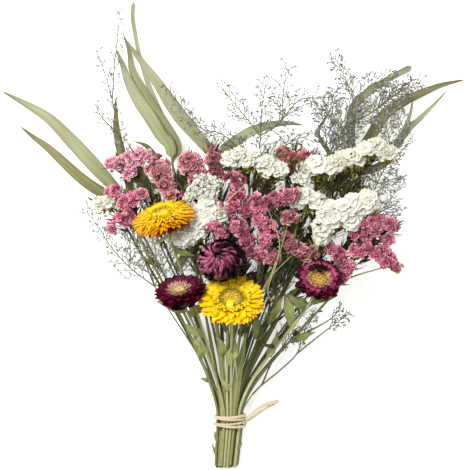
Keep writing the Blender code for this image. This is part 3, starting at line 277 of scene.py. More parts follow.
# Eucalyptus leaves as (points from root to tip, greatest width). Two spots of them touch the table.
EUCALYPTUS = {
    "eucalyptus_left": (
        (((-92, 30, 15), (-107, 46, 13), (-125, 66, 9), (-139, 81, 6), (-156, 98, 4.2), (-173, 109, 2.2),
          (-197, 122, 0.9)), 11.5),
        (((-92, 30, 15), (-110, 35, 12), (-130, 48, 8), (-157, 73, 3.5), (-169, 82, 2.0),
          (-181.5, 92, 0.31)), 9.5),
        (((-92, 30, 15), (-88, 40, 17), (-93, 59, 20), (-99, 86, 20), (-100, 106, 16),
          (-100, 117, 14)), 8.0),
    ),
    "eucalyptus_top": (
        (((-52, 60, 17), (-54, 76, 16), (-61, 84, 15), (-71, 100, 15), (-82, 116, 14), (-90, 132, 13),
          (-95, 146, 11), (-100, 158, 8)), 11.0),
        (((-52, 60, 17), (-47, 74, 13), (-58, 93, 11), (-68, 107, 10), (-78, 124, 9), (-86, 140, 8),
          (-89, 157, 7), (-94, 171, 5)), 9.0),
        (((-52, 60, 17), (-50, 78, 9), (-60, 98, 6), (-72, 126, 5), (-80, 152, 4), (-84, 172, 3.5),
          (-86, 186, 3), (-85, 198.5, 2.5)), 5.0),
    ),
    "eucalyptus_middle": (
        (((-12, 58, 31), (-10, 70, 31), (-3, 76, 31), (6, 82, 31), (14, 87, 31), (24, 91, 31), (31, 93, 30),
          (40, 94.5, 29), (48, 94.5, 28), (59, 93, 27)), 8.0),
        (((-12, 58, 31), (-20, 71, 28), (-31, 84, 24), (-43, 97, 21), (-54, 112, 19), (-64, 128, 17.5),
          (-73, 140, 16.5), (-82, 152, 15.5), (-93, 167, 14)), 11.0),
    ),
    "eucalyptus_right": (
        (((95, 50, 19), (100, 72, 19), (100, 98, 18), (104, 111, 16), (117, 123, 13), (133, 133, 9),
          (152, 143, 4)), 8.0),
        (((95, 50, 19), (116, 82, 14), (129, 102, 10), (146, 114, 6), (159, 120, 3.5), (176, 127, 1.6),
          (197, 132, 0.30)), 7.0),
        (((95, 50, 19), (124, 58, 22), (136, 74, 22), (150, 91, 20), (158, 98, 18), (173, 113, 14),
          (182, 123, 11)), 6.0),
        (((124, 58, 22), (134, 74, 25), (143, 84, 25), (150, 102, 23), (152.5, 115, 20)), 5.0),
        (((95, 50, 19), (84, 66, 21), (72, 85, 23), (77, 97, 24), (84, 110, 23)), 4.0),
    ),
}
# Leaves on the stems: (stem, share of the way up, from root to tip, width). A leaf arches by LEAF_ARCH.
LEAVES = (
    ("burgundy_left", 0.86, (-25.0, 7.0, 0.0), 8),
    ("burgundy_left", 0.80, (17.0, 9.5, -4.8), 7),
    ("burgundy_left", 0.45, (-12.0, 15.5, 4.0), 6),
    ("burgundy_right", 0.84, (23.5, 5.0, 0.0), 6),
    ("burgundy_right", 0.80, (-17.0, 10.5, 2.0), 8),
    ("burgundy_right", 0.62, (-7.5, 29.0, 3.0), 8),
    ("burgundy_right", 0.40, (7.5, 22.5, 5.0), 6),
    ("burgundy_dome", 0.35, (-9.5, 17.5, 10.5), 6.5),
    ("burgundy_hidden", 0.55, (3.5, 19.5, -1.6), 6),
    ("burgundy_hidden", 0.80, (15.0, 12.5, 4.0), 7),
    ("yellow_front", 0.42, (7.0, 19.5, 7.0), 9),
    ("yellow_front", 0.20, (-8.5, 10.0, 4.5), 5),
    ("yellow_left", 0.86, (17.5, -4.5, 2.0), 5),
    ("yellow_left", 0.40, (-17.0, 10.5, 0.0), 7),
    ("pink_left", 0.30, (1.0, 12.5, 7.0), 4.7),
    ("pink_far_left", 0.62, (15.5, 21.0, 0.0), 7),
    ("white_lacy", 0.60, (-12.5, 20.5, 0.0), 7),
    ("pink_low_middle", 0.62, (14.0, 22.0, 5.0), 8),
    ("pink_low_middle", 0.50, (-8.0, 24.0, 5.5), 8),
    ("white_fan", 0.60, (10.5, 23.5, 5.0), 8),
    ("white_right", 0.62, (19.5, 17.0, 0.0), 7),
    ("pink_low_right", 0.55, (21.0, 7.0, 2.5), 6),
    ("white_top_right", 0.75, (-10.5, 24.0, 0.0), 8),
    ("white_top", 0.70, (10.5, 24.0, 0.0), 8),
)
LEAF_ARCH = 1.8


def unit(rows):
    """The vectors at length 1, over the last axis."""
    rows = np.asarray(rows, float)
    return rows / np.maximum(np.linalg.norm(rows, axis=-1, keepdims=True), 1e-9)


def curve(points, step):
    """A smooth line through the points, as Catmull-Rom, with a point about every step."""
    points = np.asarray(points, float)
    ends = np.vstack((2 * points[0] - points[1], points, 2 * points[-1] - points[-2]))
    rows = [points[:1]]
    for before, start, end, after in zip(ends, ends[1:], ends[2:], ends[3:]):
        count = max(1, int(np.linalg.norm(end - start) / step))
        t = (np.arange(1, count + 1) / count)[:, None]
        rows.append(0.5 * (2 * start + (end - before) * t
                           + (2 * before - 5 * start + 4 * end - after) * t**2
                           + (3 * start - before - 3 * end + after) * t**3))
    return np.vstack(rows)


def even(line, count):
    """The line with that many points, evenly spaced along it."""
    line = np.asarray(line, float)
    walked = np.r_[0, np.cumsum(np.linalg.norm(np.diff(line, axis=0), axis=1))]
    marks = np.linspace(0, walked[-1], count)
    return np.stack([np.interp(marks, walked, line[:, k]) for k in range(3)], axis=1)


def bent(start, end, arrive, ease):
    """A cubic curve that leaves along the bunch and arrives along the given direction."""
    reach = np.linalg.norm(end - start)
    leave = unit(unit(end - start) + np.array((0, 1.2, 0)))
    a, b = start + leave * reach * ease, end - unit(arrive) * reach * ease
    t = np.linspace(0, 1, max(4, int(reach / 3.2)))[:, None]
    return (1 - t)**3 * start + 3 * (1 - t)**2 * t * a + 3 * (1 - t) * t**2 * b + t**3 * end


SIGHT, LOOK_AGAIN = 9.0, 20


def bend_clear(strands, heads, rounds=260):
    """Strands as (owner, points, radius, fixed), pushed apart until two owners keep the gap.

    A strand also keeps clear of another's head. Each shift is averaged along its strand, as a stem bends.
    Spots further apart than SIGHT aren't compared until the next look.
    """
    rest = np.vstack([s[1] for s in strands])
    which = np.repeat(np.arange(len(strands)), [len(s[1]) for s in strands])
    names = sorted({s[0] for s in strands} | {h[0] for h in heads})
    owner = np.array([names.index(s[0]) for s in strands])[which]
    radius = np.array([s[2] for s in strands])[which]
    first = np.r_[True, which[1:] != which[:-1]]
    last = np.r_[which[1:] != which[:-1], True]
    free = ~(first | last | np.array([s[3] for s in strands])[which])
    before, after = np.arange(len(rest)) - ~first, np.arange(len(rest)) + ~last
    centres = np.array([h[1] for h in heads], float)
    sizes = np.array([h[2] for h in heads], float)
    held = np.array([names.index(h[0]) for h in heads])
    shift = np.zeros_like(rest)
    for step in range(rounds):
        now = rest + shift
        if step % LOOK_AGAIN == 0:
            near = np.linalg.norm(now[:, None] - now[None], axis=2) < SIGHT
            i, j = np.nonzero(np.triu(near & (owner[:, None] != owner[None]), 1))
        gap = now[i] - now[j]
        apart = np.maximum(np.linalg.norm(gap, axis=1), 1e-6)
        push = np.maximum(0, radius[i] + radius[j] + 2 * GAP - apart)
        move = gap / apart[:, None] * push[:, None] * 0.5
        np.add.at(shift, i, move)
        np.add.at(shift, j, -move)
        out = now[:, None] - centres[None]
        far = np.maximum(np.linalg.norm(out, axis=2), 1e-6)
        into = np.maximum(0, sizes + radius[:, None] + GAP - far) * (owner[:, None] != held[None])
        shift += (out / far[..., None] * into[..., None] * 0.6).sum(1)
        shift[:, 2] += np.maximum(0, radius + 0.6 - now[:, 2]) * free
        shift = np.where(free[:, None], 0.5 * shift + 0.25 * (shift[before] + shift[after]), 0)
    now = rest + shift
    return [now[which == k] for k in range(len(strands))]


places = {}
for row, names in enumerate(TIE_ROWS):
    height = TIE_Z + (row - (len(TIE_ROWS) - 1) / 2) * ROW_PITCH
    stagger = SLOT_PITCH / 4 if row % 2 else -SLOT_PITCH / 4
    for place, name in enumerate(names):
        off = (place - (len(names) - 1) / 2) * SLOT_PITCH
        if len(names) % 2 == len(TIE_ROWS[0]) % 2:
            off += stagger
        places[name] = np.array((TIE_X + off, FAN_Y, height))

strands, heads, main_of, twigs_of, cut_of = [], [], {}, {}, {}


def add_main(name, end, arrive, ease, seed, radius=STEM_RADIUS):
    """The main strand of a stem, from its slot in the tie to its end, and the draws for its cut."""
    main_of[name] = len(strands)
    strands.append((name, bent(places[name], end, arrive, ease), radius, False))
    cut_of[name] = random.Random(seed)


for number, (name, flower) in enumerate((*STRAWFLOWERS.items(), *BUDS.items())):
    face = unit(flower["faces"])
    depth = flower["height"] * 0.82 if name in BUDS else flower.get("solid", flower["radius"]) * 0.36
    end = np.array(flower["at"], float) - face * (depth + GAP)
    add_main(name, end, face, 0.32, 160 + number)
    spread = flower.get("solid", flower["radius"]) * (1.02 if name in BUDS else 0.55)
    heads.append((name, np.array(flower["at"], float) - face * 3, spread))
for number, (name, spray) in enumerate((*PINK.items(), *WHITE.items())):
    balls = np.array([b[:3] for b in spray["balls"]], float)
    middle = balls.mean(0)
    back = unit(places[name] - middle)
    spread = np.linalg.norm(balls - middle, axis=1).max()
    fork = middle + back * (10 + 0.75 * spread) + np.array((0, 0, -3.0))
    add_main(name, fork, fork - places[name], 0.3, 180 + number)
    twigs_of[name] = range(len(strands), len(strands) + len(spray["branches"]))
    for index in spray["branches"]:
        spine = min(spray["balls"][index][3] * SPINE_SHARE, SPINE_MOST)
        stop = balls[index] - HEAD_OUT * (spine + BRANCH_STOP)
        strands.append((name, bent(fork, stop, HEAD_OUT, 0.3), BRANCH_RADIUS, False))
    heads.extend((name, b[:3], b[3] * 0.8) for b in spray["balls"])
for number, (name, blades) in enumerate(EUCALYPTUS.items()):
    end = np.array(blades[0][0][0], float)
    add_main(name, end, end - places[name], 0.3, 140 + number)
    for points, width in blades:
        strands.append((name, curve(points, 4.0), width * 0.3, True))
for number, (name, stalks) in enumerate(CASPIA.items()):
    end = np.array(stalks[0][0], float)
    add_main(name, end, end - places[name], 0.3, 120 + number, STEM_RADIUS * 0.85)
    for stalk in stalks:
        strands.append((name, curve(stalk, 4.0), 0.8, True))
lines = bend_clear(strands, heads)

# The whole line of each stem, from its cut end through the tie to its end.
STATIONS = 90
stem_lines = {}
for name, index in main_of.items():
    slot = places[name]
    cut_x = TIE_X + CUT_SHIFT[0] + (slot[0] - TIE_X) * CUT_SQUEEZE
    cut = (cut_x, CUT_Y + cut_of[name].uniform(0, 3.0), slot[2] + CUT_SHIFT[1])
    tie = (slot[0], TIE_Y - 3, slot[2] - 0.2)
    line = even(np.vstack((cut, tie, lines[index])), STATIONS)
    for _ in range(3):
        line[1:-1] = 0.5 * line[1:-1] + 0.25 * (line[:-2] + line[2:])
    stem_lines[name] = line


def section(sides, ribs=0.0, count=1):
    """A closed outline of (u, v) points: a circle whose radius rises and falls by ribs, count times."""
    turn = 2 * math.pi * np.arange(sides) / sides
    out = 1 + ribs * np.cos(turn * count)
    return np.stack((np.cos(turn) * out, np.sin(turn) * out), axis=1)


def swept(lines, over, half_widths, half_depths, outline, cup=0.0, tone=None):
    """Closed forms, each an outline carried along a line.

    A point is the line's, plus the side direction by half width and u, plus the up direction by half depth
    and v and by cup, half width and u squared. Both ends close in a point on the line.
    """
    lines = np.asarray(lines, float)
    count, steps = lines.shape[:2]
    half_widths = np.broadcast_to(half_widths, (count, steps))
    half_depths = np.broadcast_to(half_depths, (count, steps))
    cup = np.broadcast_to(cup, (count, steps))
    ahead = unit(np.gradient(lines, axis=1))
    side = unit(np.cross(ahead, np.broadcast_to(over, lines.shape)))
    up = np.cross(side, ahead)
    u, v = outline[:, 0], outline[:, 1]
    sides = len(u)
    aside = half_widths[..., None] * u
    lift = half_depths[..., None] * v + (cup * half_widths)[..., None] * u**2
    ring = lines[:, :, None] + side[:, :, None] * aside[..., None] + up[:, :, None] * lift[..., None]
    points = np.concatenate((ring.reshape(count, -1, 3), lines[:, :1], lines[:, -1:]), axis=1)
    k, n = (grid.ravel() for grid in np.meshgrid(np.arange(steps - 1), np.arange(sides), indexing="ij"))
    a, b = k * sides + n, k * sides + (n + 1) % sides
    rim, after, last = np.arange(sides), (np.arange(sides) + 1) % sides, (steps - 1) * sides
    none, pole = np.full(sides, -1), np.full(sides, steps * sides)
    faces = np.vstack((np.stack((a, a + sides, b + sides, b), 1), np.stack((pole, rim, after, none), 1),
                       np.stack((pole + 1, last + after, last + rim, none), 1)))
    stacked = np.where(faces < 0, -1, faces + (np.arange(count) * points.shape[1])[:, None, None])
    along = np.repeat(np.linspace(0, 1, steps), sides)
    tone = np.full(count, 0.5) if tone is None else np.asarray(tone, float)
    marks = {"along": np.tile(np.r_[along, 0, 1], count),
             "across": np.tile(np.r_[np.tile(u, steps), 0, 0], count),
             "tone": np.repeat(tone, points.shape[1])}
    return points.reshape(-1, 3), stacked.reshape(-1, 4), marks


SHARP_ANGLE = math.radians(55)


def show(name, parts, paint, slot, *nodes):
    """One piece from parts in millimetres. It rides on the bunch and stands for the nodes."""
    starts = np.cumsum([0] + [len(part[0]) for part in parts[:-1]])
    points = np.vstack([part[0] for part in parts]) * MM
    faces = np.vstack([np.where(part[1] < 0, -1, part[1] + start) for part, start in zip(parts, starts)])
    real = faces >= 0
    mesh = bpy.data.meshes.new(name)
    mesh.vertices.add(len(points))
    mesh.vertices.foreach_set("co", points.ravel())
    mesh.loops.add(int(real.sum()))
    mesh.loops.foreach_set("vertex_index", faces[real])
    mesh.polygons.add(len(faces))
    mesh.polygons.foreach_set("loop_start", np.r_[0, np.cumsum(real.sum(1))[:-1]])
    mesh.update(calc_edges=True)
    for key in ("along", "across", "tone"):
        values = np.concatenate([part[2][key] for part in parts])
        mesh.attributes.new(key, "FLOAT", "POINT").data.foreach_set("value", values)
    mesh.shade_smooth()
    mesh.set_sharp_from_angle(angle=SHARP_ANGLE)
    mesh.materials.append(paint)
    piece = bpy.data.objects.new(name, mesh)
    bpy.context.scene.collection.objects.link(piece)
    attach(piece, "root")
    if nodes:
        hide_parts(*nodes)


# Streaks on one leaf lie this far from those on the next, and the noise shifts the mix by half its share.
STREAK_SHIFT, NOISE_SHARE = 40.0, 1.1


def dry_paint(name, marks, dull, bright, rough, grain, bump, veins=0, edge=0.0, sheen=0.0, depth=0.10,
              gloss=0.5):
    """A dry plant surface.

    Two runs of colours lead from root to tip over the marks, the dull and the bright. The piece's own tone
    and a noise mix them: a grain of three lies in space per metre, and one of two follows the piece as
    streaks, across and along. Veins are sines of the place across, as strong as depth, and edge darkens by
    its fourth power.
    """
    made = bpy.data.materials.new(name)
    made.use_nodes = True
    tree = made.node_tree
    shader = tree.nodes["Principled BSDF"]
    shader.inputs["Roughness"].default_value = rough
    shader.inputs["IOR"].default_value = 1.4
    shader.inputs["Specular IOR Level"].default_value = gloss
    shader.inputs["Sheen Weight"].default_value = sheen
    along, across, tone = (add_node(tree, "ShaderNodeAttribute", attribute_name=key).outputs["Fac"]
                           for key in ("along", "across", "tone"))
    if len(grain) == 2:
        where = add_node(tree, "ShaderNodeCombineXYZ", links={0: across, 1: along, 2: tone}).outputs[0]
        grain = (*grain, STREAK_SHIFT)
    else:
        where = add_node(tree, "ShaderNodeTexCoord").outputs["Object"]
    stretch = add_node(tree, "ShaderNodeMapping", {"Scale": grain}, {"Vector": where}).outputs["Vector"]
    noise = add_node(tree, "ShaderNodeTexNoise", {"Scale": 1.0, "Detail": 3.0}, {"Vector": stretch})
    noise = noise.outputs["Fac"]
    runs = []
    for colours in (dull, bright):
        ramp = add_node(tree, "ShaderNodeValToRGB", links={"Fac": along})
        band = ramp.color_ramp
        while len(band.elements) < len(marks):
            band.elements.new(0.5)
        for element, mark in zip(band.elements, marks):
            element.position = mark
        for element, colour in zip(band.elements, colours.split()):
            element.color = linear(colour)
        runs.append(ramp.outputs["Color"])

    def reckon(operation, values, links, **settings):
        """One sum of the shader, with its fixed terms and the terms that are linked to it."""
        return add_node(tree, "ShaderNodeMath", values, links, operation=operation, **settings).outputs[0]

    def darken(colour, light):
        """The colour times a light from 0 to 1."""
        return add_node(tree, "ShaderNodeMix", {0: 1.0}, {6: colour, 7: light}, data_type="RGBA",
                        blend_type="MULTIPLY").outputs[2]

    shifted = reckon("MULTIPLY_ADD", {1: NOISE_SHARE, 2: -NOISE_SHARE / 2}, {0: noise})
    share = reckon("ADD", {}, {0: tone, 1: shifted}, use_clamp=True)
    colour = add_node(tree, "ShaderNodeMix", links={0: share, 6: runs[0], 7: runs[1]}, data_type="RGBA")
    colour = colour.outputs[2]
    height = noise
    if veins:
        angle = reckon("MULTIPLY", {1: veins * math.pi}, {0: across})
        wave = reckon("SINE", {}, {0: angle})
        height = reckon("MULTIPLY_ADD", {1: 0.5}, {0: wave, 2: noise})
        colour = darken(colour, reckon("MULTIPLY_ADD", {1: depth, 2: 1 - depth * 0.6}, {0: wave}))
    if edge:
        power = reckon("POWER", {1: 4.0}, {0: across})
        colour = darken(colour, reckon("MULTIPLY_ADD", {1: -edge, 2: 1.0}, {0: power}))
    relief = add_node(tree, "ShaderNodeBump", {"Strength": 0.6, "Distance": bump * MM}, {"Height": height})
    tree.links.new(relief.outputs["Normal"], shader.inputs["Normal"])
    tree.links.new(colour, shader.inputs["Base Color"])
    return made


# Dried stalk: silky ribs run along it, 0.4 mm apart, and it is dull and fibrous to the eye.
STALK_GRAIN = (1500, 90, 1500)
straw_stalk = dry_paint("dried_straw_stalk", (0, 0.15, 0.4, 1), "#605f30 #6a6836 #747040 #5e6634",
                        "#b4b07c #bab884 #c6c494 #aaae78", 0.6, STALK_GRAIN, 0.25)
green_stalk = dry_paint("dried_green_stalk", (0, 0.15, 0.4, 1), "#363c1a #3e441e #424822 #353e1d",
                        "#848850 #888c53 #989b62 #7c8549", 0.62, STALK_GRAIN, 0.25)
RIBBED = section(10, 0.10, 5)
WINGED = np.array(((1, 0), (0.35, 0.35), (0, 1), (-0.35, 0.35), (-1, 0), (-0.35, -0.35), (0, -1),
                   (0.35, -0.35)))
TAPER = 0.15


def stalk(line, start, end, outline, tone, swell=0.0):
    """A stem along a line: its radius runs from start to end and swells at every twelfth station."""
    radii = np.linspace(start, end, len(line)) * (1 + swell * (np.arange(len(line)) % 12 == 6))
    return swept(line[None], (0.13, 0, 1), radii[None], radii[None], outline, tone=[tone])


# The broadest wings, as half widths. The rest are drawn.
WING_HALF = {"pink_centre_right": 3.3, "white_right": 2.9, "pink_right": 2.7, "white_lacy": 2.4}
draw = random.Random(7)
for name in (*STRAWFLOWERS, *BUDS):
    body = stalk(stem_lines[name], STEM_RADIUS * 1.15, STEM_RADIUS, RIBBED, draw.uniform(0.4, 0.9), 0.12)
    show(name + "_stalk", [body], straw_stalk, "stem_straw", name + "_stem")
for name, spray in (*PINK.items(), *WHITE.items()):
    tone = draw.choice((-0.2, 0.1, 0.4, 0.7, 0.9))
    line = stem_lines[name]
    parts = [stalk(line, STEM_RADIUS * 1.1, STEM_RADIUS * (1 - TAPER), RIBBED, tone, 0.15)]
    for index, ball in zip(twigs_of[name], spray["branches"]):
        twig = np.vstack((lines[index], np.array(spray["balls"][ball][:3], float)))
        parts.append(stalk(even(twig, 24), BRANCH_RADIUS, 0.5, section(6), tone))
    # The wings are thin, and run up the lower two thirds of the stem's free length.
    low, high = int(STATIONS * 0.17), int(STATIONS * draw.uniform(0.6, 0.8))
    wing = line[low:high]
    spread = np.sin(np.linspace(0, math.pi, len(wing))) ** 0.5 * WING_HALF.get(name, draw.uniform(1.4, 2.2))
    lean = (draw.uniform(-0.5, 0.5), 0, 1)
    parts.append(swept(wing[None], lean, spread[None], 0.32, WINGED, tone=[tone - 0.1]))
    show(name + "_stalk", parts, green_stalk, "stem_green", name + "_stem")

# The loose twigs.
# Thin tan side twigs of the statice that lost their flowers. They cross in front of the pink heads and run
# down to the stem that each one grew on.
LOOSE = (((29, 22, 84), (39, -7, 85), (34, -28, 82), (24, -56, 68)),
         ((45, 5, 82), (37, -23, 83), (29, -47, 74)),
         ((49, -18, 81), (29, -39, 80), (18, -64, 66)),
         ((11, 43, 80), (-4, 29, 89), (-10, 18, 86)),
         ((77, -5, 78), (66, -16, 79), (56, -34, 72)),
         ((-32, -62, 60), (-24, -84, 48), (-18, -104, 38)),
         ((8, -66, 62), (1, -92, 46), (2, -112, 36)),
         ((-66, 30, 70), (-72, 10, 62), (-66, -14, 52)))
draw = random.Random(9)
known = np.vstack([line[20:] for line in stem_lines.values()])
parts = []
for points in LOOSE:
    last = np.array(points[-1], float)
    root = known[np.argmin(np.linalg.norm((known - last - (0, -14, -8)) * (1, 1, 0.6), axis=1))]
    parts.append(stalk(even(curve((*points, root), 2.0), 36), 0.38, 0.6, section(6), draw.uniform(0.3, 0.9),
                       0.15))
# A short thick end, cut off below the left yellow flower.
short_end = even(curve(((-67, -8, 79), (-60, -4, 81), (-52, 2, 82)), 1.0), 16)
parts.append(stalk(short_end, 1.2, 1.5, RIBBED, 0.6))
show("loose_twigs", parts, straw_stalk, "stem_straw")

# The leaves on the stems.
# Narrow dry leaves, left on the stems below the flowers. Each is thin and papery, a little folded along its
# midrib, twisted as it dried, and paler underneath.
LEAF_SECTION = np.array(((1, 0), (0.72, 0.5), (0.38, 0.9), (0.06, 1), (0, 0.7), (-0.06, 1), (-0.38, 0.9),
                         (-0.72, 0.5), (-1, 0), (-0.6, -0.7), (0, -1), (0.6, -0.7)))
leaf_green = dry_paint("dried_leaf", (0, 0.6, 0.9, 1), "#4e5a28 #5a682e #6c6430 #7a5a34",
                       "#a2ac64 #b4bc78 #c0ba80 #b09a6a", 0.5, (2.2, 4.0), 0.35, 7, 0.35, depth=0.14)


def leaf(line, width, tone, fold, twist, wave):
    """A leaf along a line: its half width is a waved skewed sine, and it turns by twist from root to tip.

    Its rims rise and fall as a sine along it, as leaves crinkle when they dry.
    """
    share = np.linspace(0, 1, len(line))
    half = width / 2 * np.clip(np.sin(np.pi * (share * 0.86 + 0.14) ** 0.8), 0.16, 1)
    half = half * (1 + 0.10 * np.sin(share * 11 + wave))
    half[-1] = 0.05
    side = unit(np.cross(unit(np.gradient(line, axis=0)), (0, 0, 1.0)))
    turn = (twist * (share - 0.35) + 0.25 * np.sin(share * 7 + wave))[:, None]
    over = np.array((0, 0, 1.0)) * np.cos(turn) + side * np.sin(turn)
    rims = fold + 0.42 * np.sin(share * 15 + wave * 2)
    return swept(line[None], over[None], half[None], 0.28, LEAF_SECTION, rims[None], [tone])


parts = []
draw = random.Random(11)
for stem, share, reach, width in LEAVES:
    main, reach = lines[main_of[stem]], np.array(reach)
    root = main[int(share * (len(main) - 1))]
    aside = np.array((draw.uniform(-0.12, 0.12), draw.uniform(-0.08, 0.08), 0)) * np.linalg.norm(reach)
    line = even(curve((root, root + reach * 0.45 + aside + (0, 0, LEAF_ARCH), root + reach), 1.0), 24)
    parts.append(leaf(line, width * 1.2, draw.uniform(0.2, 1.0), draw.uniform(0.1, 0.45),
                      draw.uniform(-1.3, 1.3), draw.uniform(0, 6)))
# Torn remains of leaves below and above the tie.
for stem, place, reach, width in (("white_left", 8, (-3.5, 11, 5), 4), ("pink_left", 4, (-4, 10, 6), 3.5),
                                  ("pink_low_right", 6, (4, 9, 4), 3), ("yellow_left", 12, (-5, 9, 5), 3),
                                  ("pink_right", 30, (7, 8, 3), 3.5), ("pink_left", 30, (-8, 3, 3), 4)):
    root = stem_lines[stem][place]
    line = even(curve((root, root + np.array(reach) * 0.5 + (0, 0, 1.0), root + reach), 1.0), 14)
    parts.append(leaf(line, width, draw.uniform(0.2, 0.8), 0.3, draw.uniform(-1.5, 1.5),
                      draw.uniform(0, 6)))
# A small dark leaf that stands out over the top of the left pink spray.
line = even(curve(((-62, 61, 52), (-72, 74, 50), (-86, 79.5, 46)), 1.0), 18)
parts.append(leaf(line, 4.0, 0.1, 0.5, 0.6, 1.0))
show("stem_leaves", parts, leaf_green, "stem_green")

# The pink statice.
# Flat-topped sprays of tiny papery flowers, each a funnel 3 to 5 mm across with five lobes and a pale rim,
# packed side by side on short twigs. The dry flowers keep their colour, and dark gaps show between them,
# deepened by a painted shade at the flowers' roots and in their throats.
FLORET_GRAIN = (500, 500, 500)
# The hues of the heads, each as a dull and a bright run of colours from a flower's root to its rim. The
# dull runs start near black at the root, a painted shade deep in the head.
PINKS = {"pink": ("#241f0e #5a2424 #9c3854 #b84e6e", "#7e7040 #c84a72 #f086a8 #ffe8ea"),
         "coral": ("#2e2812 #6a3028 #a24650 #b85a62", "#7e7040 #cc6068 #ee9896 #ffe2d6"),
         "magenta": ("#241f0e #5a2424 #983650 #b44a68", "#7e7040 #ca467a #f080a8 #ffe4ea"),
         "pale_pink": ("#3a341e #8a5058 #b87484 #c88e9c", "#948852 #dc809c #f6b0c6 #fff2f2"),
         "dusty_rose": ("#2c240e #5e2a22 #984450 #b25c6c", "#8a7a46 #bc5868 #e690a2 #fce6e0")}
pink_florets = {hue: dry_paint(f"dried_{hue}_statice", (0, 0.45, 0.8, 1), *runs, 0.7, FLORET_GRAIN, 0.3,
                               sheen=0.2) for hue, runs in PINKS.items()}


def funnel(lobes, steps, deep, ruffle, inside, bottom):
    """A closed funnel with its root at 0 and its rim near 1 along z.

    The rim's radius is 1, waved by the lobes, and its height is waved by ruffle, twice as often. The inner
    rings are (radius, height, mark), and bottom is the height and the mark of the middle.
    """
    turn = 2 * math.pi * np.arange(steps) / steps
    out = 1 + deep * np.cos(turn * lobes)
    rise = ruffle * np.cos(turn * lobes * 2 + 0.6)
    rings = [(1.0, 1.0, 1.0), *inside]
    points = [np.zeros((1, 3))]
    for radial, height, _ in rings:
        points.append(np.stack((radial * out * np.cos(turn), radial * out * np.sin(turn),
                                height + rise * radial), 1))
    points.append(np.array(((0, 0, bottom[0]),)))
    n = np.arange(steps)
    after, none, last = (n + 1) % steps, np.full(steps, -1), 1 + (len(rings) - 1) * steps
    faces = [np.stack((0 * n, 1 + after, 1 + n, none), 1)]
    for k in range(len(rings) - 1):
        low, high = 1 + k * steps, 1 + (k + 1) * steps
        faces.append(np.stack((low + n, low + after, high + after, high + n), 1))
    faces.append(np.stack((last + n, last + after, none + 1 + last + steps, none), 1))
    along = np.concatenate(((0,), np.repeat([ring[2] for ring in rings], steps), (bottom[1],)))
    return np.vstack(points), np.vstack(faces), along


def strewn(form, spots, axes, spreads, heights, tone, turns):
    """Copies of a small form: z runs along each axis by the height, and x and y are spread and turned."""
    points, faces, along = form
    axes = unit(axes)
    side = unit(np.cross(axes, np.where(np.abs(axes[:, 2:]) < 0.9, ((0, 0, 1.0),), ((0, 1.0, 0),))))
    other = np.cross(axes, side)
    c, s = np.cos(turns)[:, None], np.sin(turns)[:, None]
    side, other = side * c + other * s, other * c - side * s
    placed = (points[None, :, :1] * (side * spreads[:, None])[:, None]
              + points[None, :, 1:2] * (other * spreads[:, None])[:, None]
              + points[None, :, 2:] * (axes * heights[:, None])[:, None] + spots[:, None])
    stacked = np.where(faces < 0, -1, faces + (np.arange(len(spots)) * len(points))[:, None, None])
    marks = {"along": np.tile(along, len(spots)), "across": np.zeros(len(spots) * len(points)),
             "tone": np.repeat(tone, len(points))}
    return placed.reshape(-1, 3), stacked.reshape(-1, 4), marks


def lumps(balls):
    """The balls of a head, with one more between each two that hang together and nearly touch."""
    rows = [tuple(map(float, b[:4])) for b in balls]
    for index, ball in enumerate(balls[1:], 1):
        parent = balls[ball[4] if len(ball) > 4 else index - 1]
        if 0.8 < math.dist(ball[:3], parent[:3]) / (ball[3] + parent[3]) < 1.04:
            rows.append(tuple((np.array(ball[:4]) + np.array(parent[:4])) / 2 * (1, 1, 1, 0.8)))
    return np.array(rows)


# The spiral turns by this angle from spot to spot, and runs this far down from its pole, in radii.
GOLDEN_ANGLE, SPIRAL_DEPTH = 2.39996, 1.75


def round_ball(rows, density, chance):
    """Spots on the balls, evenly strewn by a golden-angle spiral, as ball numbers and directions."""
    counts = np.maximum(6, (density * rows[:, 3] ** 2)).astype(int)
    which = np.repeat(np.arange(len(rows)), counts)
    place = np.concatenate([(np.arange(c) + 0.5) / c for c in counts])
    order = np.concatenate([np.arange(c) for c in counts])
    z = 1 - SPIRAL_DEPTH * place
    angle = order * GOLDEN_ANGLE + which * 1.7
    flat = np.sqrt(np.maximum(0, 1 - z * z))
    ways = np.stack((flat * np.cos(angle), flat * np.sin(angle), z), axis=1)
    ways = unit(ways + chance.normal(0, 0.16, ways.shape))
    # The spiral's pole looks the way the head faces.
    tilt = np.array(((1, 0, 0), (0, HEAD_OUT[2], -HEAD_OUT[1]), (0, HEAD_OUT[1], HEAD_OUT[2])))
    return which, ways @ tilt


# A flower's throat takes a colour near its root's, a painted shade in its hollow.
PINK_FLORET = funnel(5, 10, 0.24, 0.05, ((0.62, 0.70, 0.55),), (0.45, 0.1))
# Spikelets of five flowers are strewn over each ball by its radius squared and this density, with their
# roots this deep below its face. They gather to knobs that swell and sink, and stray a little.
SPIKELET, SPIKELET_DENSITY, ROOT_DEPTH, STRAY = 5, 0.30, 3.1, 1.35
KNOBS, KNOB_SWELL, KNOB_PULL = 8, (0.60, 1.24), 0.20
# A ball is drawn out one way across and a little slimmer the other ways.
SLIM, DRAWN_OUT = 0.90, 0.34
# How much paler than usual some sprays dried, and the hue of those that aren't plain pink.
PALE = {"pink_far_left": 0.46, "pink_left": 0.40, "pink_upper_left": 0.20, "pink_right": 0.24,
        "pink_low_right": 0.24, "pink_centre_right": 0.06}
HUES = {"pink_upper_right": "coral", "pink_centre": "magenta", "pink_centre_right": "magenta",
        "pink_left": "magenta", "pink_top": "dusty_rose", "pink_upper_left": "dusty_rose",
        "pink_low_middle": "dusty_rose", "pink_far_left": "pale_pink"}
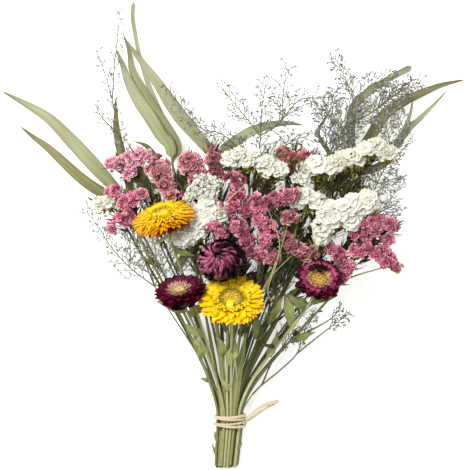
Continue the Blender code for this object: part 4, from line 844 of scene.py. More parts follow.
# The flowers hang this much below the tips of their twigs, and the white heads are this much slimmer.
PINK_DROP, WHITE_DROP, WHITE_SLIM = 1.5, 3.2, 0.93
for number, (name, spray) in enumerate(PINK.items()):
    chance = np.random.default_rng(300 + number)
    rows = lumps(spray["balls"]) - (0, PINK_DROP, 0, 0)
    which, ways = round_ball(rows, SPIKELET_DENSITY, chance)
    # A head is a few uneven knobs of spikelets, with dark gaps between them.
    knobs = unit(chance.normal(0, 1, (len(rows), KNOBS, 3)) + HEAD_OUT * 0.9)
    near = np.argmax((knobs[which] * ways[:, None]).sum(-1), axis=1)
    swell = chance.uniform(*KNOB_SWELL, (len(rows), KNOBS))[which, near]
    ways = unit(ways + KNOB_PULL * knobs[which, near])
    reach = rows[which, 3] * swell * chance.uniform(0.50, 1.20, len(which))
    turned = chance.uniform(0, math.pi, len(rows))
    along = np.stack((np.cos(turned), np.sin(turned), 0 * turned), -1)[which]
    shift = ways * (reach - ROOT_DEPTH)[:, None]
    shift = SLIM * shift + DRAWN_OUT * along * (shift * along).sum(-1, keepdims=True)
    middles = rows[which, :3] + shift + chance.normal(0, STRAY, ways.shape)
    group = np.repeat(np.arange(len(which)), SPIKELET)
    count = len(group)
    # Five flowers share a root and lean apart, round the way that their spikelet faces.
    side = unit(np.cross(ways, (0.3, 0.5, 0.8)))
    other = np.cross(ways, side)
    around = np.arange(count) % SPIKELET * 2 * math.pi / (SPIKELET - 1) + chance.uniform(-0.5, 0.5, count)
    apart = np.where(np.arange(count) % SPIKELET, chance.uniform(0.45, 0.85, count), 0.1)
    lean = (side[group] * (np.cos(around) * apart)[:, None]
            + other[group] * (np.sin(around) * apart)[:, None])
    axes = unit(ways[group] + 0.3 * HEAD_OUT + lean)
    tall = chance.uniform(3.0, 4.6, count)
    # Each spikelet's tone is its spray's paleness and a random spread, plus painted light: those that face
    # up are painted lighter.
    spikelet_tone_and_light = np.clip(chance.normal(0.40 + PALE.get(name, 0), 0.36, len(which)) + 0.22 * ways[:, 2], 0, 1)
    tone = np.clip(spikelet_tone_and_light[group] + chance.normal(0, 0.2, count), 0, 1)
    spots = middles[group] + lean * 1.6
    florets = strewn(PINK_FLORET, spots, axes, chance.uniform(1.15, 2.2, count), tall, tone,
                     chance.uniform(0, 6.3, count))
    paint = pink_florets[HUES.get(name, "pink")]
    show(name + "_flowers", [florets], paint, "statice_pink", name + "_florets")

# The white statice.
# The same plant in white: wide papery funnels, 8 to 14 mm across, whose crinkled rims overlap to a frilled
# shelf. They are off-white, creamy in their folds, and stand on olive-yellow calyces.
white_floret = dry_paint("dried_white_statice", (0, 0.35, 0.75, 1), "#7c7a40 #b4ae88 #cac6ac #d2ceb8",
                         "#a39c60 #c8c6b2 #d8d7ca #dfdfd6", 0.65, (300, 300, 300), 0.5)
LACY_FLORET = funnel(5, 10, 0.22, 0.06, ((0.70, 0.78, 0.7),), (0.62, 0.5))
SHELL = funnel(5, 20, 0.10, 0.12, ((0.62, 0.86, 0.86),), (0.70, 0.62))
# How much brighter or more yellow some sprays dried, and the tufts beside two of them as further balls.
CREAM = {"white_top_right": -0.16, "white_lacy": 0.42, "white_top": -0.05}
TUFTS = {"white_left": ((-75, 33, 54, 4.2), (-81, 30, 52, 3.6), (-66, 38, 50, 3.2)),
         "white_lacy": ((-34, 36, 70, 5.5), (-38, 31, 69, 4.4))}
# Each kind of flower: its form, how densely it stands, its height and its radius.
SINGLE = (LACY_FLORET, 1.0, (2.8, 4.2), (1.3, 2.1))
WIDE = (SHELL, 0.42, (4.0, 6.2), (4.0, 7.0))
# The lower end of the lacy spray stands higher, and most sprays are bare on the side of their stem.
LACY_RISE, BARE_SIDE = 9, -0.42
for number, (name, spray) in enumerate(WHITE.items()):
    chance = np.random.default_rng(330 + number)
    rows = np.vstack((lumps(spray["balls"]), *TUFTS.get(name, ())))
    if name != "white_lacy":
        rows = (rows - (0, WHITE_DROP, 0, 0)) * (1, 1, 1, WHITE_SLIM)
    rows[:, 2] += np.where(rows[:, 1] < 10, LACY_RISE, 0) * (name == "white_lacy")
    made = []
    # The upper part of the lacy spray opened in single small flowers, and the rest in wide shells.
    small = (rows[:, 1] > 30) & (name == "white_lacy") | (rows[:, 3] < 4.5)
    for (form, density, tall, spread), part in ((SINGLE, rows[small]), (WIDE, rows[~small])):
        if not len(part):
            continue
        which, ways = round_ball(part, density, chance)
        if name not in ("white_lacy", "white_right"):
            open_side = ways[:, 1] > BARE_SIDE
            which, ways = which[open_side], ways[open_side]
        count = len(which)
        reach = part[which, 3] * chance.uniform(0.80, 1.08, count)
        height = chance.uniform(*tall, count)
        axes = unit(0.8 * ways + 0.8 * HEAD_OUT + chance.normal(0, 0.2, ways.shape))
        spots = part[which, :3] + ways * (reach - height * 0.8)[:, None]
        # Flowers that face up are painted a little lighter, as painted light from above.
        tone = np.clip(chance.normal(0.68 + CREAM.get(name, 0), 0.28, count) + 0.15 * ways[:, 2], 0, 1)
        made.append(strewn(form, spots, axes, chance.uniform(*spread, count), height, tone,
                           chance.uniform(0, 6.3, count)))
    show(name + "_flowers", made, white_floret, "statice_white", name + "_florets")

# The calyces and branchlets under the statice.
# Each head stands on a fan of thin winged branchlets with small green scales, which show between the
# flowers as an olive shade.
calyx_green = dry_paint("dried_calyx", (0, 1), "#3f4a20 #6b6a26", "#7d8440 #b3ab4c", 0.65, FLORET_GRAIN,
                        0.3)
calyx_olive = dry_paint("dried_olive_calyx", (0, 1), "#4c4e1c #857c28", "#a09c44 #d4c86c", 0.65,
                        FLORET_GRAIN, 0.3)
SCALE = funnel(5, 5, 0.0, 0.0, (), (0.75, 0.5))
# Branchlets under a pink and a white ball, scales on each, and calyces under a white ball.
BRANCHLETS, SCALES, CALYCES = {False: 6, True: 9}, 4, 52
parts, parts_white = [], []
chance = np.random.default_rng(41)
for name, spray in (*PINK.items(), *WHITE.items()):
    rows = np.array([b[:4] for b in spray["balls"]], float)
    which = np.repeat(np.arange(len(rows)), BRANCHLETS[name in WHITE])
    centre, size = rows[which, :3], rows[which, 3]
    under = unit(-HEAD_OUT + chance.normal(0, 0.75, centre.shape) * (1, 1, 0.5))
    root = centre - HEAD_OUT * (size * chance.uniform(1.3, 2.3, len(size)))[:, None]
    tip = centre + under * (size * chance.uniform(0.55, 1.0, len(size)))[:, None]
    share = np.linspace(0, 1, 5)[None, :, None]
    bow = np.sin(math.pi * share) * chance.normal(0, 1.0, (len(size), 1, 3))
    runs = root[:, None] * (1 - share) + tip[:, None] * share + bow
    parts.append(swept(runs, (0.2, 0, 1), np.linspace(0.42, 0.25, 5)[None], 0.3, section(4),
                       tone=chance.uniform(0.2, 0.8, len(size))))
    dots = np.repeat(np.arange(len(size)), SCALES)
    spot = runs[dots, chance.integers(2, 5, len(dots))]
    if name in WHITE:
        # A white head shows its green underside below its shells: long calyces that converge to the stem.
        number = np.repeat(np.arange(len(rows)), CALYCES)
        middle, wide = rows[number, :3], rows[number, 3:]
        drop = chance.uniform(0.45, 1.95, (len(number), 1))
        spot_low = middle + wide * (np.array((0, -1, -0.42)) * drop
                                    + chance.normal(0, 1, middle.shape) * (0.42, 0.12, 0.15))
        way = np.array((0, 0.8, 0.4)) + chance.normal(0, 0.32, middle.shape)
        parts_white.append(strewn(SCALE, spot_low, way, chance.uniform(0.6, 1.2, len(wide)),
                                  chance.uniform(3.5, 6.0, len(wide)), chance.uniform(0.0, 1.0, len(wide)),
                                  chance.uniform(0, 6.3, len(wide))))
    parts.append(strewn(SCALE, spot, under[dots] + chance.normal(0, 0.5, spot.shape),
                        chance.uniform(0.8, 1.5, len(dots)), chance.uniform(2.0, 3.6, len(dots)),
                        chance.uniform(0.1, 1.0, len(dots)), chance.uniform(0, 6.3, len(dots))))
show("statice_branchlets", parts, calyx_green, "stem_green")
show("white_statice_calyces", parts_white, calyx_olive, "stem_green")

# The small leaves of the statice.
# Narrow dry leaves, 8 to 22 mm long, stand on the upper stems and the branches, point forward, and shade
# from dark green to olive and brown, their darkest near black, which is partly painted shade deep in the
# bunch. They fill the bunch behind its flowers.
LEAFLET = np.array(((1, 0.1), (0, 1), (-1, 0.1), (0, -1)))
small_leaf = dry_paint("dried_statice_leaf", (0, 0.5, 1), "#1a1c0e #292b14 #3c321a",
                       "#5a5e2e #787c42 #a69c60", 0.6, (380, 160, 380), 0.35, 3, 0.3)
chance = np.random.default_rng(43)
roots, aheads = [], []
# How leafy the stems are, where they don't carry the usual number.
LEAFY = {"white_top_right": 6.5, "white_right": 4.5, "white_top": 3.2, "white_fan": 4.0,
         "pink_upper_right": 4.0, "caspia_right": 5.0, "caspia_top_right": 3.5, "pink_right": 2.2,
         "pink_left": 0.5, "white_left": 0.5, "pink_far_left": 1.3, "pink_upper_left": 3.0,
         "pink_top": 2.8, "white_lacy": 1.2, "caspia_left": 0.5, "eucalyptus_left": 0.4,
         "eucalyptus_top": 0.8, "pink_centre_right": 2.0, "pink_low_middle": 2.2, "pink_centre": 1.8}
# Beside the stems, tufts of leaves stand on bare stalks behind the heads.
TUFTED = (((112, 12, 42), (106, 34, 42), (104, 46, 42), (102, 62, 40)),
          ((92, 20, 44), (96, 36, 44), (99, 50, 43), (104, 60, 42)),
          ((-62, 6, 46), (-66, 26, 46), (-74, 42, 45), (-82, 54, 42)),
          ((-50, 10, 48), (-49, 28, 48), (-44, 44, 48), (-36, 54, 46)),
          ((20, 20, 50), (26, 36, 50), (30, 48, 50), (30, 58, 46)))
# Below this y the stems are all but bare. Leaves stand on a stem or a branch from a share of its length,
# so many to each, and so many on a tuft. Leaves and bare twigs are this long, and leaves twice this wide.
LEAF_LINE = -50.0
ON_STEM, ON_BRANCH, ON_TUFT = (0.40, 24), (0.1, 10), 90
LEAF_LENGTH, TWIG_LENGTH, LEAF_HALF = (8, 22), (8, 20), (0.7, 1.9)
for name in main_of:
    leafy_lines = [(even(lines[main_of[name]], 60), *ON_STEM)]
    leafy_lines += [(even(lines[index], 20), *ON_BRANCH) for index in twigs_of.get(name, ())]
    for line, low, many in leafy_lines:
        many = int(many * LEAFY.get(name, 1.0))
        spot = ((low + (0.97 - low) * chance.uniform(0, 1, many)) * (len(line) - 2)).astype(int)
        roots.append(line[spot])
        aheads.append(unit(line[spot + 1] - line[spot]))
for points in TUFTED:
    line = even(curve(points, 2.0), 60)
    spot = (chance.uniform(0.1, 0.95, ON_TUFT) * (len(line) - 2)).astype(int)
    roots.append(line[spot])
    aheads.append(unit(line[spot + 1] - line[spot]))
roots, aheads = np.concatenate(roots), np.concatenate(aheads)
above = roots[:, 1] > LEAF_LINE + chance.normal(0, 8, len(roots)) + 0.25 * np.abs(roots[:, 0])
above |= (roots[:, 1] > -112) & (roots[:, 0] > -20) & (chance.uniform(0, 1, len(roots)) < 0.10)
above &= (roots[:, 0] > -25) | (roots[:, 1] > 0) | (chance.uniform(0, 1, len(roots)) < 0.3)
roots, aheads = roots[above], aheads[above]
count = len(roots)
ways = unit(aheads + chance.normal(0, 0.38, (count, 3)) * (1, 1, 0.6))
long = chance.uniform(*LEAF_LENGTH, count)[:, None, None]
t = np.linspace(0, 1, 5)[None, :, None]
aside = chance.normal(0, 0.12, (count, 1, 3)) * (1, 1, 0.5)
runs = roots[:, None] + (ways[:, None] * t + aside * t * t) * long
runs[..., 2] = np.maximum(runs[..., 2], 1.5)
shape = np.clip(np.sin(math.pi * (t[..., 0] * 0.86 + 0.14) ** 0.8), 0.2, 1)
half = chance.uniform(*LEAF_HALF, count)[:, None] * shape
half[:, -1] = 0.05
over = unit(np.array((0, 0, 1.0)) + chance.normal(0, 0.5, (count, 1, 3)))
tone = np.clip(chance.normal(0.36, 0.3, count), 0, 1)
threads = np.repeat(np.arange(count), 2)
t = np.linspace(0, 1, 4)[None, :, None]
start = roots[threads] + chance.normal(0, 1.5, (len(threads), 3))
way = unit(aheads[threads] + chance.normal(0, 0.30, (len(threads), 3)) * (1, 1, 0.5))
string = start[:, None] + way[:, None] * t * chance.uniform(*TWIG_LENGTH, len(threads))[:, None, None]
string = string + chance.normal(0, 1.0, (len(threads), 1, 3)) * np.sin(math.pi * t)
string[..., 2] = np.maximum(string[..., 2], 1.0)
show("statice_leaves", [swept(runs, over, half, 0.2, LEAFLET, 0.3, tone)], small_leaf, "stem_green")
show("statice_bare_twigs", [swept(string, (0.1, 0.2, 1), 0.28, 0.28, section(3),
                                  tone=chance.uniform(0, 0.8, len(threads)))], small_leaf, "stem_green")

# The open strawflowers.
# Dry flowers with stiff, glossy, pointed bracts in several rings round a flat disc. The bracts are thin as
# paper and cupped, and the disc is a tight field of tiny tubes.
BRACT = np.array(((1, 0.1), (0.42, 0.9), (-0.42, 0.9), (-1, 0.1), (-0.42, -0.9), (0.42, -0.9)))
BRACT_STATIONS = 8
BRACT_GRAIN = (3.5, 1.6)
yellow_bract = dry_paint("strawflower_yellow_bract", (0, 0.5, 0.85, 1), "#c89a10 #f8c400 #ffbe00 #f8a008",
                         "#f4cc18 #ffe200 #ffe610 #ffdc18", 0.36, BRACT_GRAIN, 0.25, 5, 0.12)
gold_bract = dry_paint("strawflower_gold_bract", (0, 0.5, 0.85, 1), "#c07a08 #fab600 #fbae00 #ea8c0c",
                       "#f8d24a #ffd610 #ffca00 #fcb004", 0.38, BRACT_GRAIN, 0.25, 5, 0.12)
burgundy_bract = dry_paint("strawflower_burgundy_bract", (0, 0.5, 0.85, 1),
                           "#460c1c #24040a #140206 #0a0104", "#b85474 #8e1c46 #6a102e #38081a", 0.28,
                           BRACT_GRAIN, 0.25, 5, 0.45, depth=0.16, gloss=0.2)
pale_bract = dry_paint("strawflower_pale_bract", (0, 0.5, 0.75, 1), "#a08040 #bc9060 #a04c68 #6e1a3c",
                       "#dcc884 #e8d4a4 #e2b0a4 #c4587e", 0.4, BRACT_GRAIN, 0.25, 5, 0.1)
magenta_bract = dry_paint("strawflower_magenta_bract", (0, 0.35, 0.7, 1), "#b8804a #7a203e #3c0a20 #1c040e",
                          "#f6d8aa #ee96ac #bc4474 #5a1030", 0.32, BRACT_GRAIN, 0.25, 5, 0.1, gloss=0.25)
amber_bract = dry_paint("strawflower_amber_bract", (0, 1), "#8a6424 #a8803a", "#d0a048 #efd088", 0.45,
                        BRACT_GRAIN, 0.25, 5, 0.1)
brown_bract = dry_paint("strawflower_brown_bract", (0, 1), "#4a1c08 #6e2a0a", "#a04e10 #d87a14", 0.45,
                        BRACT_GRAIN, 0.25, 5, 0.1)
# Each ring: its number of bracts, then reach, rise, half width and lift of the middle as shares of the
# flower's radius, cup, and paint. A ring that starts elsewhere, fills a sector only or is darker says so.
RINGS = {
    "yellow_front": ((24, 1.01, -0.09, 0.14, 0.03, 0.14, 0), (24, 1.01, -0.03, 0.135, 0.05, 0.16, 0),
                     (24, 0.96, 0.03, 0.125, 0.07, 0.18, 0), (22, 0.86, 0.08, 0.11, 0.08, 0.2, 0),
                     (26, 0.60, 0.09, 0.075, 0.08, 0.3, 0),
                     (30, 0.38, 0.09, 0.04, 0.07, 0.3, 0, dict(start=0.47, low=-0.08)),
                     (1, 0.16, 0.16, 0.10, 0.08, 0.1, 0,
                      dict(start=0.48, low=0.02, middle=-1.75, sector=0.1))),
    "yellow_left": ((26, 0.90, -0.40, 0.12, 0.00, 0.15, 2), (30, 0.98, -0.30, 0.12, 0.02, 0.15, 0),
                    (38, 1.03, -0.22, 0.10, 0.03, 0.15, 0), (40, 1.03, -0.14, 0.095, 0.04, 0.16, 0),
                    (40, 0.98, -0.07, 0.09, 0.06, 0.18, 0), (40, 0.89, -0.01, 0.08, 0.07, 0.2, 0),
                    (38, 0.76, 0.04, 0.065, 0.09, 0.25, 0), (36, 0.60, 0.08, 0.05, 0.10, 0.3, 1),
                    (34, 0.46, 0.10, 0.04, 0.10, 0.3, 1),
                    (30, 0.22, 0.13, 0.026, 0.10, 0.3, 1, dict(start=0.34, low=-0.04))),
    "burgundy_right": ((16, 1.03, -0.08, 0.21, 0.03, 0.2, 0), (16, 1.04, 0.02, 0.20, 0.06, 0.25, 0),
                       (16, 0.97, 0.10, 0.18, 0.09, 0.3, 0), (18, 0.85, 0.16, 0.13, 0.12, 0.35, 1),
                       (24, 0.66, 0.20, 0.075, 0.13, 0.3, 1), (28, 0.48, 0.13, 0.04, 0.10, 0.3, 2),
                       (6, 0.34, 0.26, 0.12, 0.14, 0.5, 0,
                        dict(start=0.66, low=0.05, middle=1.6, sector=1.9, shade=-0.1)),
                       (3, 0.16, 0.24, 0.10, 0.18, 0.5, 0,
                        dict(start=0.58, low=0.05, middle=1.45, sector=0.7, shade=-0.35))),
    "burgundy_left": ((15, 0.88, -0.10, 0.26, -0.10, -0.3, 0, dict(start=0.22, low=-0.46)),
                      (15, 0.98, -0.06, 0.25, -0.04, 0.1, 0, dict(start=0.30, low=-0.34)),
                      (15, 1.02, 0.00, 0.23, 0.02, 0.25, 0), (15, 0.99, 0.10, 0.21, 0.02, 0.3, 0),
                      (15, 0.90, 0.19, 0.18, 0.02, 0.32, 0), (18, 0.74, 0.24, 0.12, 0.02, 0.35, 0),
                      (28, 0.50, 0.20, 0.044, 0.04, 0.3, 1), (28, 0.38, 0.18, 0.036, 0.06, 0.3, 1),
                      (24, 0.25, 0.15, 0.030, 0.06, 0.3, 1)),
}
PAINTS = {"yellow_front": ((yellow_bract,), "strawflower_yellow"),
          "yellow_left": ((gold_bract, yellow_bract, brown_bract), "strawflower_gold"),
          "burgundy_right": ((burgundy_bract, magenta_bract, amber_bract), "strawflower_burgundy"),
          "burgundy_left": ((burgundy_bract, pale_bract), "strawflower_burgundy")}


def flower_frame(flower):
    """A flower's middle and its own three directions as rows, the last one out of its face."""
    face = unit(flower.get("leans", flower["faces"]))
    side = unit(np.cross((0, 1, 0), face))
    middle = np.array(flower["at"], float) + flower.get("shift", (0, 0, 0))
    return middle, np.array((side, np.cross(face, side) * flower.get("squash", 1.0), face))


def turned_form(heights, widths, at, frame, sides, tone=None):
    """A closed round form on a flower's axis, with a half width at each height along it."""
    line = np.stack((0 * heights, 0 * heights, heights), axis=-1) @ frame + at
    return swept(line[None], frame[0], widths[None], widths[None], section(sides), tone=tone)


def bracts(flower, ring, chance, shade):
    """A ring of bracts: each line is a parabola from the disc's rim over its lifted middle to its tip.

    Its half width swells as a sine to 0.6 of its length and closes to a point or a blunt end.
    """
    count, reach, rise, width, lift, cup, kind, *place = ring
    place = place[0] if place else {}
    at, frame = flower_frame(flower)
    size, disc = flower["radius"], flower["disc"]
    middle, sector = place.get("middle", chance.uniform(0, 6)), place.get("sector", 2 * math.pi)
    angle = middle + sector * ((np.arange(count) + 0.5 + chance.uniform(-0.28, 0.28, count)) / count - 0.5)
    long = size * reach * chance.uniform(0.93, 1.05, count)
    high = size * (rise + chance.uniform(-0.03, 0.03, count))
    # On one side the rim may curl up: the lowest bracts less than the rest, and the inner ones not.
    way, curl = flower.get("curl", (0, 0))
    off = (angle - way + math.pi) % (2 * math.pi) - math.pi
    curl *= (0.5 if kind == 2 else 1.0) * min(1.0, max(0.0, (reach - 0.6) / 0.35))
    high = high + size * curl * np.exp(-((off / 0.75) ** 2))
    t = np.linspace(0, 1, BRACT_STATIONS)[None]
    start, low = disc * 0.93, -size * 0.16 + size * 0.10 * max(0, rise)
    start = min(start, size * reach * 0.6)
    if place:
        start, low = size * place.get("start", start / size), size * place.get("low", low / size)
    radial = start + (long[:, None] - start) * t
    height = low + (high[:, None] - low) * t**0.8 + size * lift * 4 * t * (1 - t)
    bend = chance.uniform(-0.05, 0.05, count)[:, None] * t * t
    turn = angle[:, None] + bend
    local = np.stack((radial * np.cos(turn), radial * np.sin(turn), height), axis=-1)
    half = size * width * chance.uniform(0.85, 1.12, count)[:, None] * np.sin(
        math.pi * t**0.75 * flower.get("blunt", 0.93) + 0.12)
    half = np.maximum(half * np.clip((1 - t) * 5.5, 0, 1) ** 0.55, 0.04)
    over = frame[2] + chance.normal(0, 0.14, (count, 1, 3))
    tone = np.clip(place.get("shade", shade) + chance.normal(0, 0.2, count), -0.5, 1)
    return swept(local @ frame + at, over, half, 0.16, BRACT, cup, tone)


TUBE = funnel(5, 5, 0.0, 0.0, (), (0.8, 0.5))
disc_yellow = dry_paint("strawflower_disc", (0, 1), "#7a6c14 #a89620", "#d8b020 #ffe050", 0.75,
                        FLORET_GRAIN, 0.3)
disc_amber = dry_paint("strawflower_amber_disc", (0, 1), "#54300e #8e5c1e", "#a8702a #e4bc64", 0.75,
                       FLORET_GRAIN, 0.3)
disc_cream = dry_paint("strawflower_cream_disc", (0, 1), "#6e5a28 #a48a48", "#c0a860 #e4d698", 0.75,
                       FLORET_GRAIN, 0.3)
# The disc's tubes, and how dark the painted shade on the ring between its rim and its middle is.
DISC_TUBES, PAINTED_RING_SHADE = 260, {"yellow_front": 1.5}
DISCS = {"burgundy_right": (disc_amber, "disc_cream"), "burgundy_left": (disc_cream, "disc_cream")}
for number, (name, flower) in enumerate(STRAWFLOWERS.items()):
    chance = np.random.default_rng(500 + number)
    paints, slot = PAINTS[name]
    at, frame = flower_frame(flower)
    size, disc = flower["radius"], flower["disc"]
    rings = RINGS[name]
    shades = np.linspace(0.35, 0.85, len(rings))
    made = [bracts(flower, ring, chance, shade) for ring, shade in zip(rings, shades)]
    # The cup below the disc, which the rings of bracts grow from.
    cup = turned_form(np.linspace(-0.36, -0.05, 8) * size,
                      disc * np.array((0.35, 0.6, 0.8, 0.92, 1.0, 1.0, 0.95, 0.8)), at, frame, 20)
    made.insert(0, cup)
    kinds = np.array([0] + [ring[6] for ring in rings])
    for kind, paint in enumerate(paints):
        show(f"{name}_bracts_{kind}", [m for m, k in zip(made, kinds) if k == kind], paint, slot,
             *((name + "_bracts",) if kind == 0 else ()))
    # The disc: tubes strewn by the golden angle over a low dome that sinks a little at its middle.
    count = DISC_TUBES
    spread = np.sqrt((np.arange(count) + 0.5) / count)
    angle = np.arange(count) * GOLDEN_ANGLE
    high = size * (0.02 + 0.05 * np.sin(spread * math.pi * 0.9))
    spots = np.stack((disc * 0.98 * spread * np.cos(angle), disc * 0.98 * spread * np.sin(angle), high), -1)
    axes = np.stack((spread * np.cos(angle) * 0.5, spread * np.sin(angle) * 0.5, np.ones(count)), -1)
    axes = axes + chance.normal(0, 0.12, axes.shape)
    # Painted shade: a ring of tubes between the rim and the middle is painted darker.
    ring_shade = PAINTED_RING_SHADE.get(name, 0.7) * np.exp(-((spread - 0.72) / 0.14) ** 2)
    tone = np.clip(0.85 - ring_shade + chance.normal(0, 0.12, count), 0, 1)
    tubes = strewn(TUBE, (spots - (0, 0, 1.4)) @ frame + at, axes @ frame, chance.uniform(0.5, 0.75, count),
                   chance.uniform(1.6, 2.4, count), tone, chance.uniform(0, 6, count))
    pad = turned_form(np.array((-0.08, -0.04, -0.01, 0.0, 0.01, 0.012)) * size,
                      disc * np.array((0.8, 0.95, 0.98, 0.9, 0.6, 0.2)), at, frame, 20, [0.2])
    show(name + "_tubes", [pad, tubes], *DISCS.get(name, (disc_yellow, "disc_yellow")), name + "_disc")

# The shut strawflowers.
# Two burgundy heads that dried before they opened. Their bracts overlap as tiles do, curl in over the top
# and meet in a small eye, and their backs are glossy. Most of their light and shade is painted into their
# colour.
# Its dull run is near black, a painted shade for the bracts in shadow; its bright run ends in a pale pink
# painted highlight; and its darkened edges are partly the bracts' own dark margins and partly painted shade
# between them.
dome_bract = dry_paint("strawflower_dome_bract", (0, 0.5, 1), "#030001 #0c0105 #140208",
                       "#1c020a #9c2254 #f29abc", 0.24, BRACT_GRAIN, 0.2, 3, 0.97, depth=0.25, gloss=0.15)
# How bright the rows of bracts are, from the lowest to the one round the eye: the lowest rows, at the rim,
# are darker, partly as older bracts and partly as painted shade, and the middle rows are painted lighter as
# a painted highlight. And the number in the widest.
ROW_PAINTED_LIGHT = (-0.5, -0.45, -0.35, -0.1, 0.3, 0.6, 0.6, 0.35, 0.0)
WIDEST_ROW = 24
for number, (name, flower) in enumerate(BUDS.items()):
    chance = np.random.default_rng(560 + number)
    at, frame = flower_frame(flower)
    size, tall = flower["radius"], flower["height"]
    made = []
    # A core under the bracts, in the darkest tone, so that the gaps between them show a painted shade.
    body = np.linspace(-0.80, 0.70, 10)
    body_width = size * 0.80 * np.sqrt(np.maximum(0.05, 1 - (body / 0.95) ** 2))
    made.append(turned_form(body * tall * 0.8, body_width, at, frame, 24, [0.0]))
    for row, low in enumerate(np.linspace(-0.95, 0.98, len(ROW_PAINTED_LIGHT))):
        count = max(7, int(WIDEST_ROW * math.cos(low * 0.85)))
        t = np.linspace(0, 1, BRACT_STATIONS)[None]
        place = np.arange(count) + 0.5 * (row % 2) + chance.uniform(-0.2, 0.2, count)
        angle = 2 * math.pi * place / count
        turn = low + (0.80 + chance.uniform(-0.16, 0.16, count))[:, None] * t
        out = 0.78 + (0.25 + chance.uniform(-0.05, 0.05, count))[:, None] * np.sin(math.pi * t**1.3 * 0.74)
        radial = size * out * np.maximum(np.cos(np.minimum(turn, 1.45)), 0.05)
        height = tall * out * np.sin(np.minimum(turn, 1.5)) - tall * 0.10 * np.clip(turn - 1.2, 0, 1)
        twist = angle[:, None] + (0.34 + chance.uniform(-0.26, 0.26, count))[:, None] * t
        local = np.stack((radial * np.cos(twist), radial * np.sin(twist), height), -1)
        middle = np.array((0, 0, -0.2 * tall))
        wide = 0.112 if low > -0.2 else 0.155
        half = size * wide * math.cos(low * 0.70) * np.sin(math.pi * t**0.8 * 0.88 + 0.14)
        half = np.maximum(half * np.clip((1 - t) * 3.0, 0, 1) ** 0.7, 0.04)
        over = (local - middle) @ frame
        # Painted light: the left and lower flanks are painted lighter, as if they faced the light, and the
        # upper right darker, as painted shade.
        painted_light = 0.35 * (-np.cos(angle) - 0.35 * np.sin(angle))
        tone = ROW_PAINTED_LIGHT[row] + painted_light + chance.normal(0, 0.3, count)
        made.append(swept(local @ frame + at, unit(over), half, 0.28, BRACT, -0.9, np.clip(tone, -0.5, 1)))
    show(name + "_tiles", made, dome_bract, "strawflower_burgundy", name + "_bracts")

# The eucalyptus leaves.
# Long narrow leaves of sage green, leathery when they dried, with a pale midrib, fine veins beside it and
# slightly brown margins. They twist a little over their length.
eucalyptus_leaf = dry_paint("dried_eucalyptus", (0, 0.4, 0.8, 1), "#66602a #7e7636 #8a8044 #7c6636",
                            "#a8ae76 #bcc298 #c2c9a6 #b4b08e", 0.48, (1.9, 3.2), 0.5, 9, 0.36, depth=0.20)
# Some leaves dried browner or greyer than the rest.
DRIED = {("eucalyptus_left", 1): 0.22, ("eucalyptus_left", 2): 0.12, ("eucalyptus_top", 1): 0.45,
         ("eucalyptus_top", 2): 0.95, ("eucalyptus_right", 1): 0.25, ("eucalyptus_right", 4): 0.0}
# Some are broader than the line of their solid.
BROAD = {("eucalyptus_right", 1): 1.35, ("eucalyptus_right", 2): 1.15, ("eucalyptus_middle", 0): 1.1}
# Two tips are broken off or rounded: half widths there as shares of the leaf's width.
TORN = {("eucalyptus_right", 0): 0.34, ("eucalyptus_top", 2): 0.36}
for number, (name, blades) in enumerate(EUCALYPTUS.items()):
    chance = random.Random(600 + number)
    parts = [stalk(stem_lines[name], STEM_RADIUS * 1.1, STEM_RADIUS * 0.9, RIBBED, 0.5, 0.1)]
    for order, (points, width) in enumerate(blades):
        line = even(curve(points, 2.0), 40)
        share = np.linspace(0, 1, len(line))
        width *= BROAD.get((name, order), 1.0)
        half = width * 0.53 * np.clip(np.sin(np.pi * (share * 0.80 + 0.16) ** 0.85), 0.14, 1)
        half = np.maximum(half, width * TORN.get((name, order), 0) * (share > 0.5))
        half[:3], half[-1] = (0.8, 0.9, 1.1), 0.05
        tilt = chance.uniform(-0.25, 0.25) + 0.35 * np.sin(share * 5 + chance.uniform(0, 6))
        over = np.stack((np.sin(tilt), 0 * tilt, np.cos(tilt)), -1)
        parts.append(swept(line[None], over[None], half[None], 0.35, LEAF_SECTION, 0.12,
                           [DRIED.get((name, order), chance.uniform(0.5, 0.8))]))
    show(name + "_leaves", parts, eucalyptus_leaf, "eucalyptus_sage", name)

# The caspia.
# Airy sprays of sea lavender: wiry grey-green stalks that fork again and again, with rows of dry buds
# 2 mm long, slate and lavender, on the last twigs.
caspia_stalk = dry_paint("dried_caspia_stalk", (0, 1), "#464c34 #5a6146", "#8e9268 #969c7e", 0.7,
                         (800, 800, 800), 0.2)
caspia_bud = dry_paint("dried_caspia_bud", (0, 1), "#34362c #4c4a50", "#868872 #bcb7b8", 0.75,
                       (900, 900, 900), 0.2)
BUD = funnel(3, 6, 0.15, 0.0, ((0.6, 1.2, 0.8),), (1.35, 1.0))
# The gap between the first twigs of each spray, their length and their slant.
FINE = {"caspia_left": (3.6, 11, 0.8), "caspia_low_left": (2.2, 14, 1.0), "caspia_middle": (2.0, 15, 1.0),
        "caspia_top_right": (1.2, 15, 1.1), "caspia_right": (1.15, 15, 1.1),
        "caspia_low_right": (3.0, 12, 1.1)}
# Side stalks, thin as thread, that fill the spray's inner side.
SIDE_STALKS = {"caspia_low_left": (((-67, -44, 33), (-60, -28, 38), (-52, -14, 40), (-46, 0, 41)),
                                   ((-67, -44, 33), (-52, -38, 38), (-40, -28, 41), (-30, -16, 42)),
                                   ((-67, -44, 33), (-74, -26, 38), (-80, -8, 40), (-82, 4, 40))),
               "caspia_top_right": (((118, 104, 34), (134, 117, 33), (150, 127, 32)),
                                    ((80, 62, 30), (95, 82, 34), (106, 98, 35)),
                                    ((80, 62, 30), (88, 76, 35), (98, 94, 36)))}


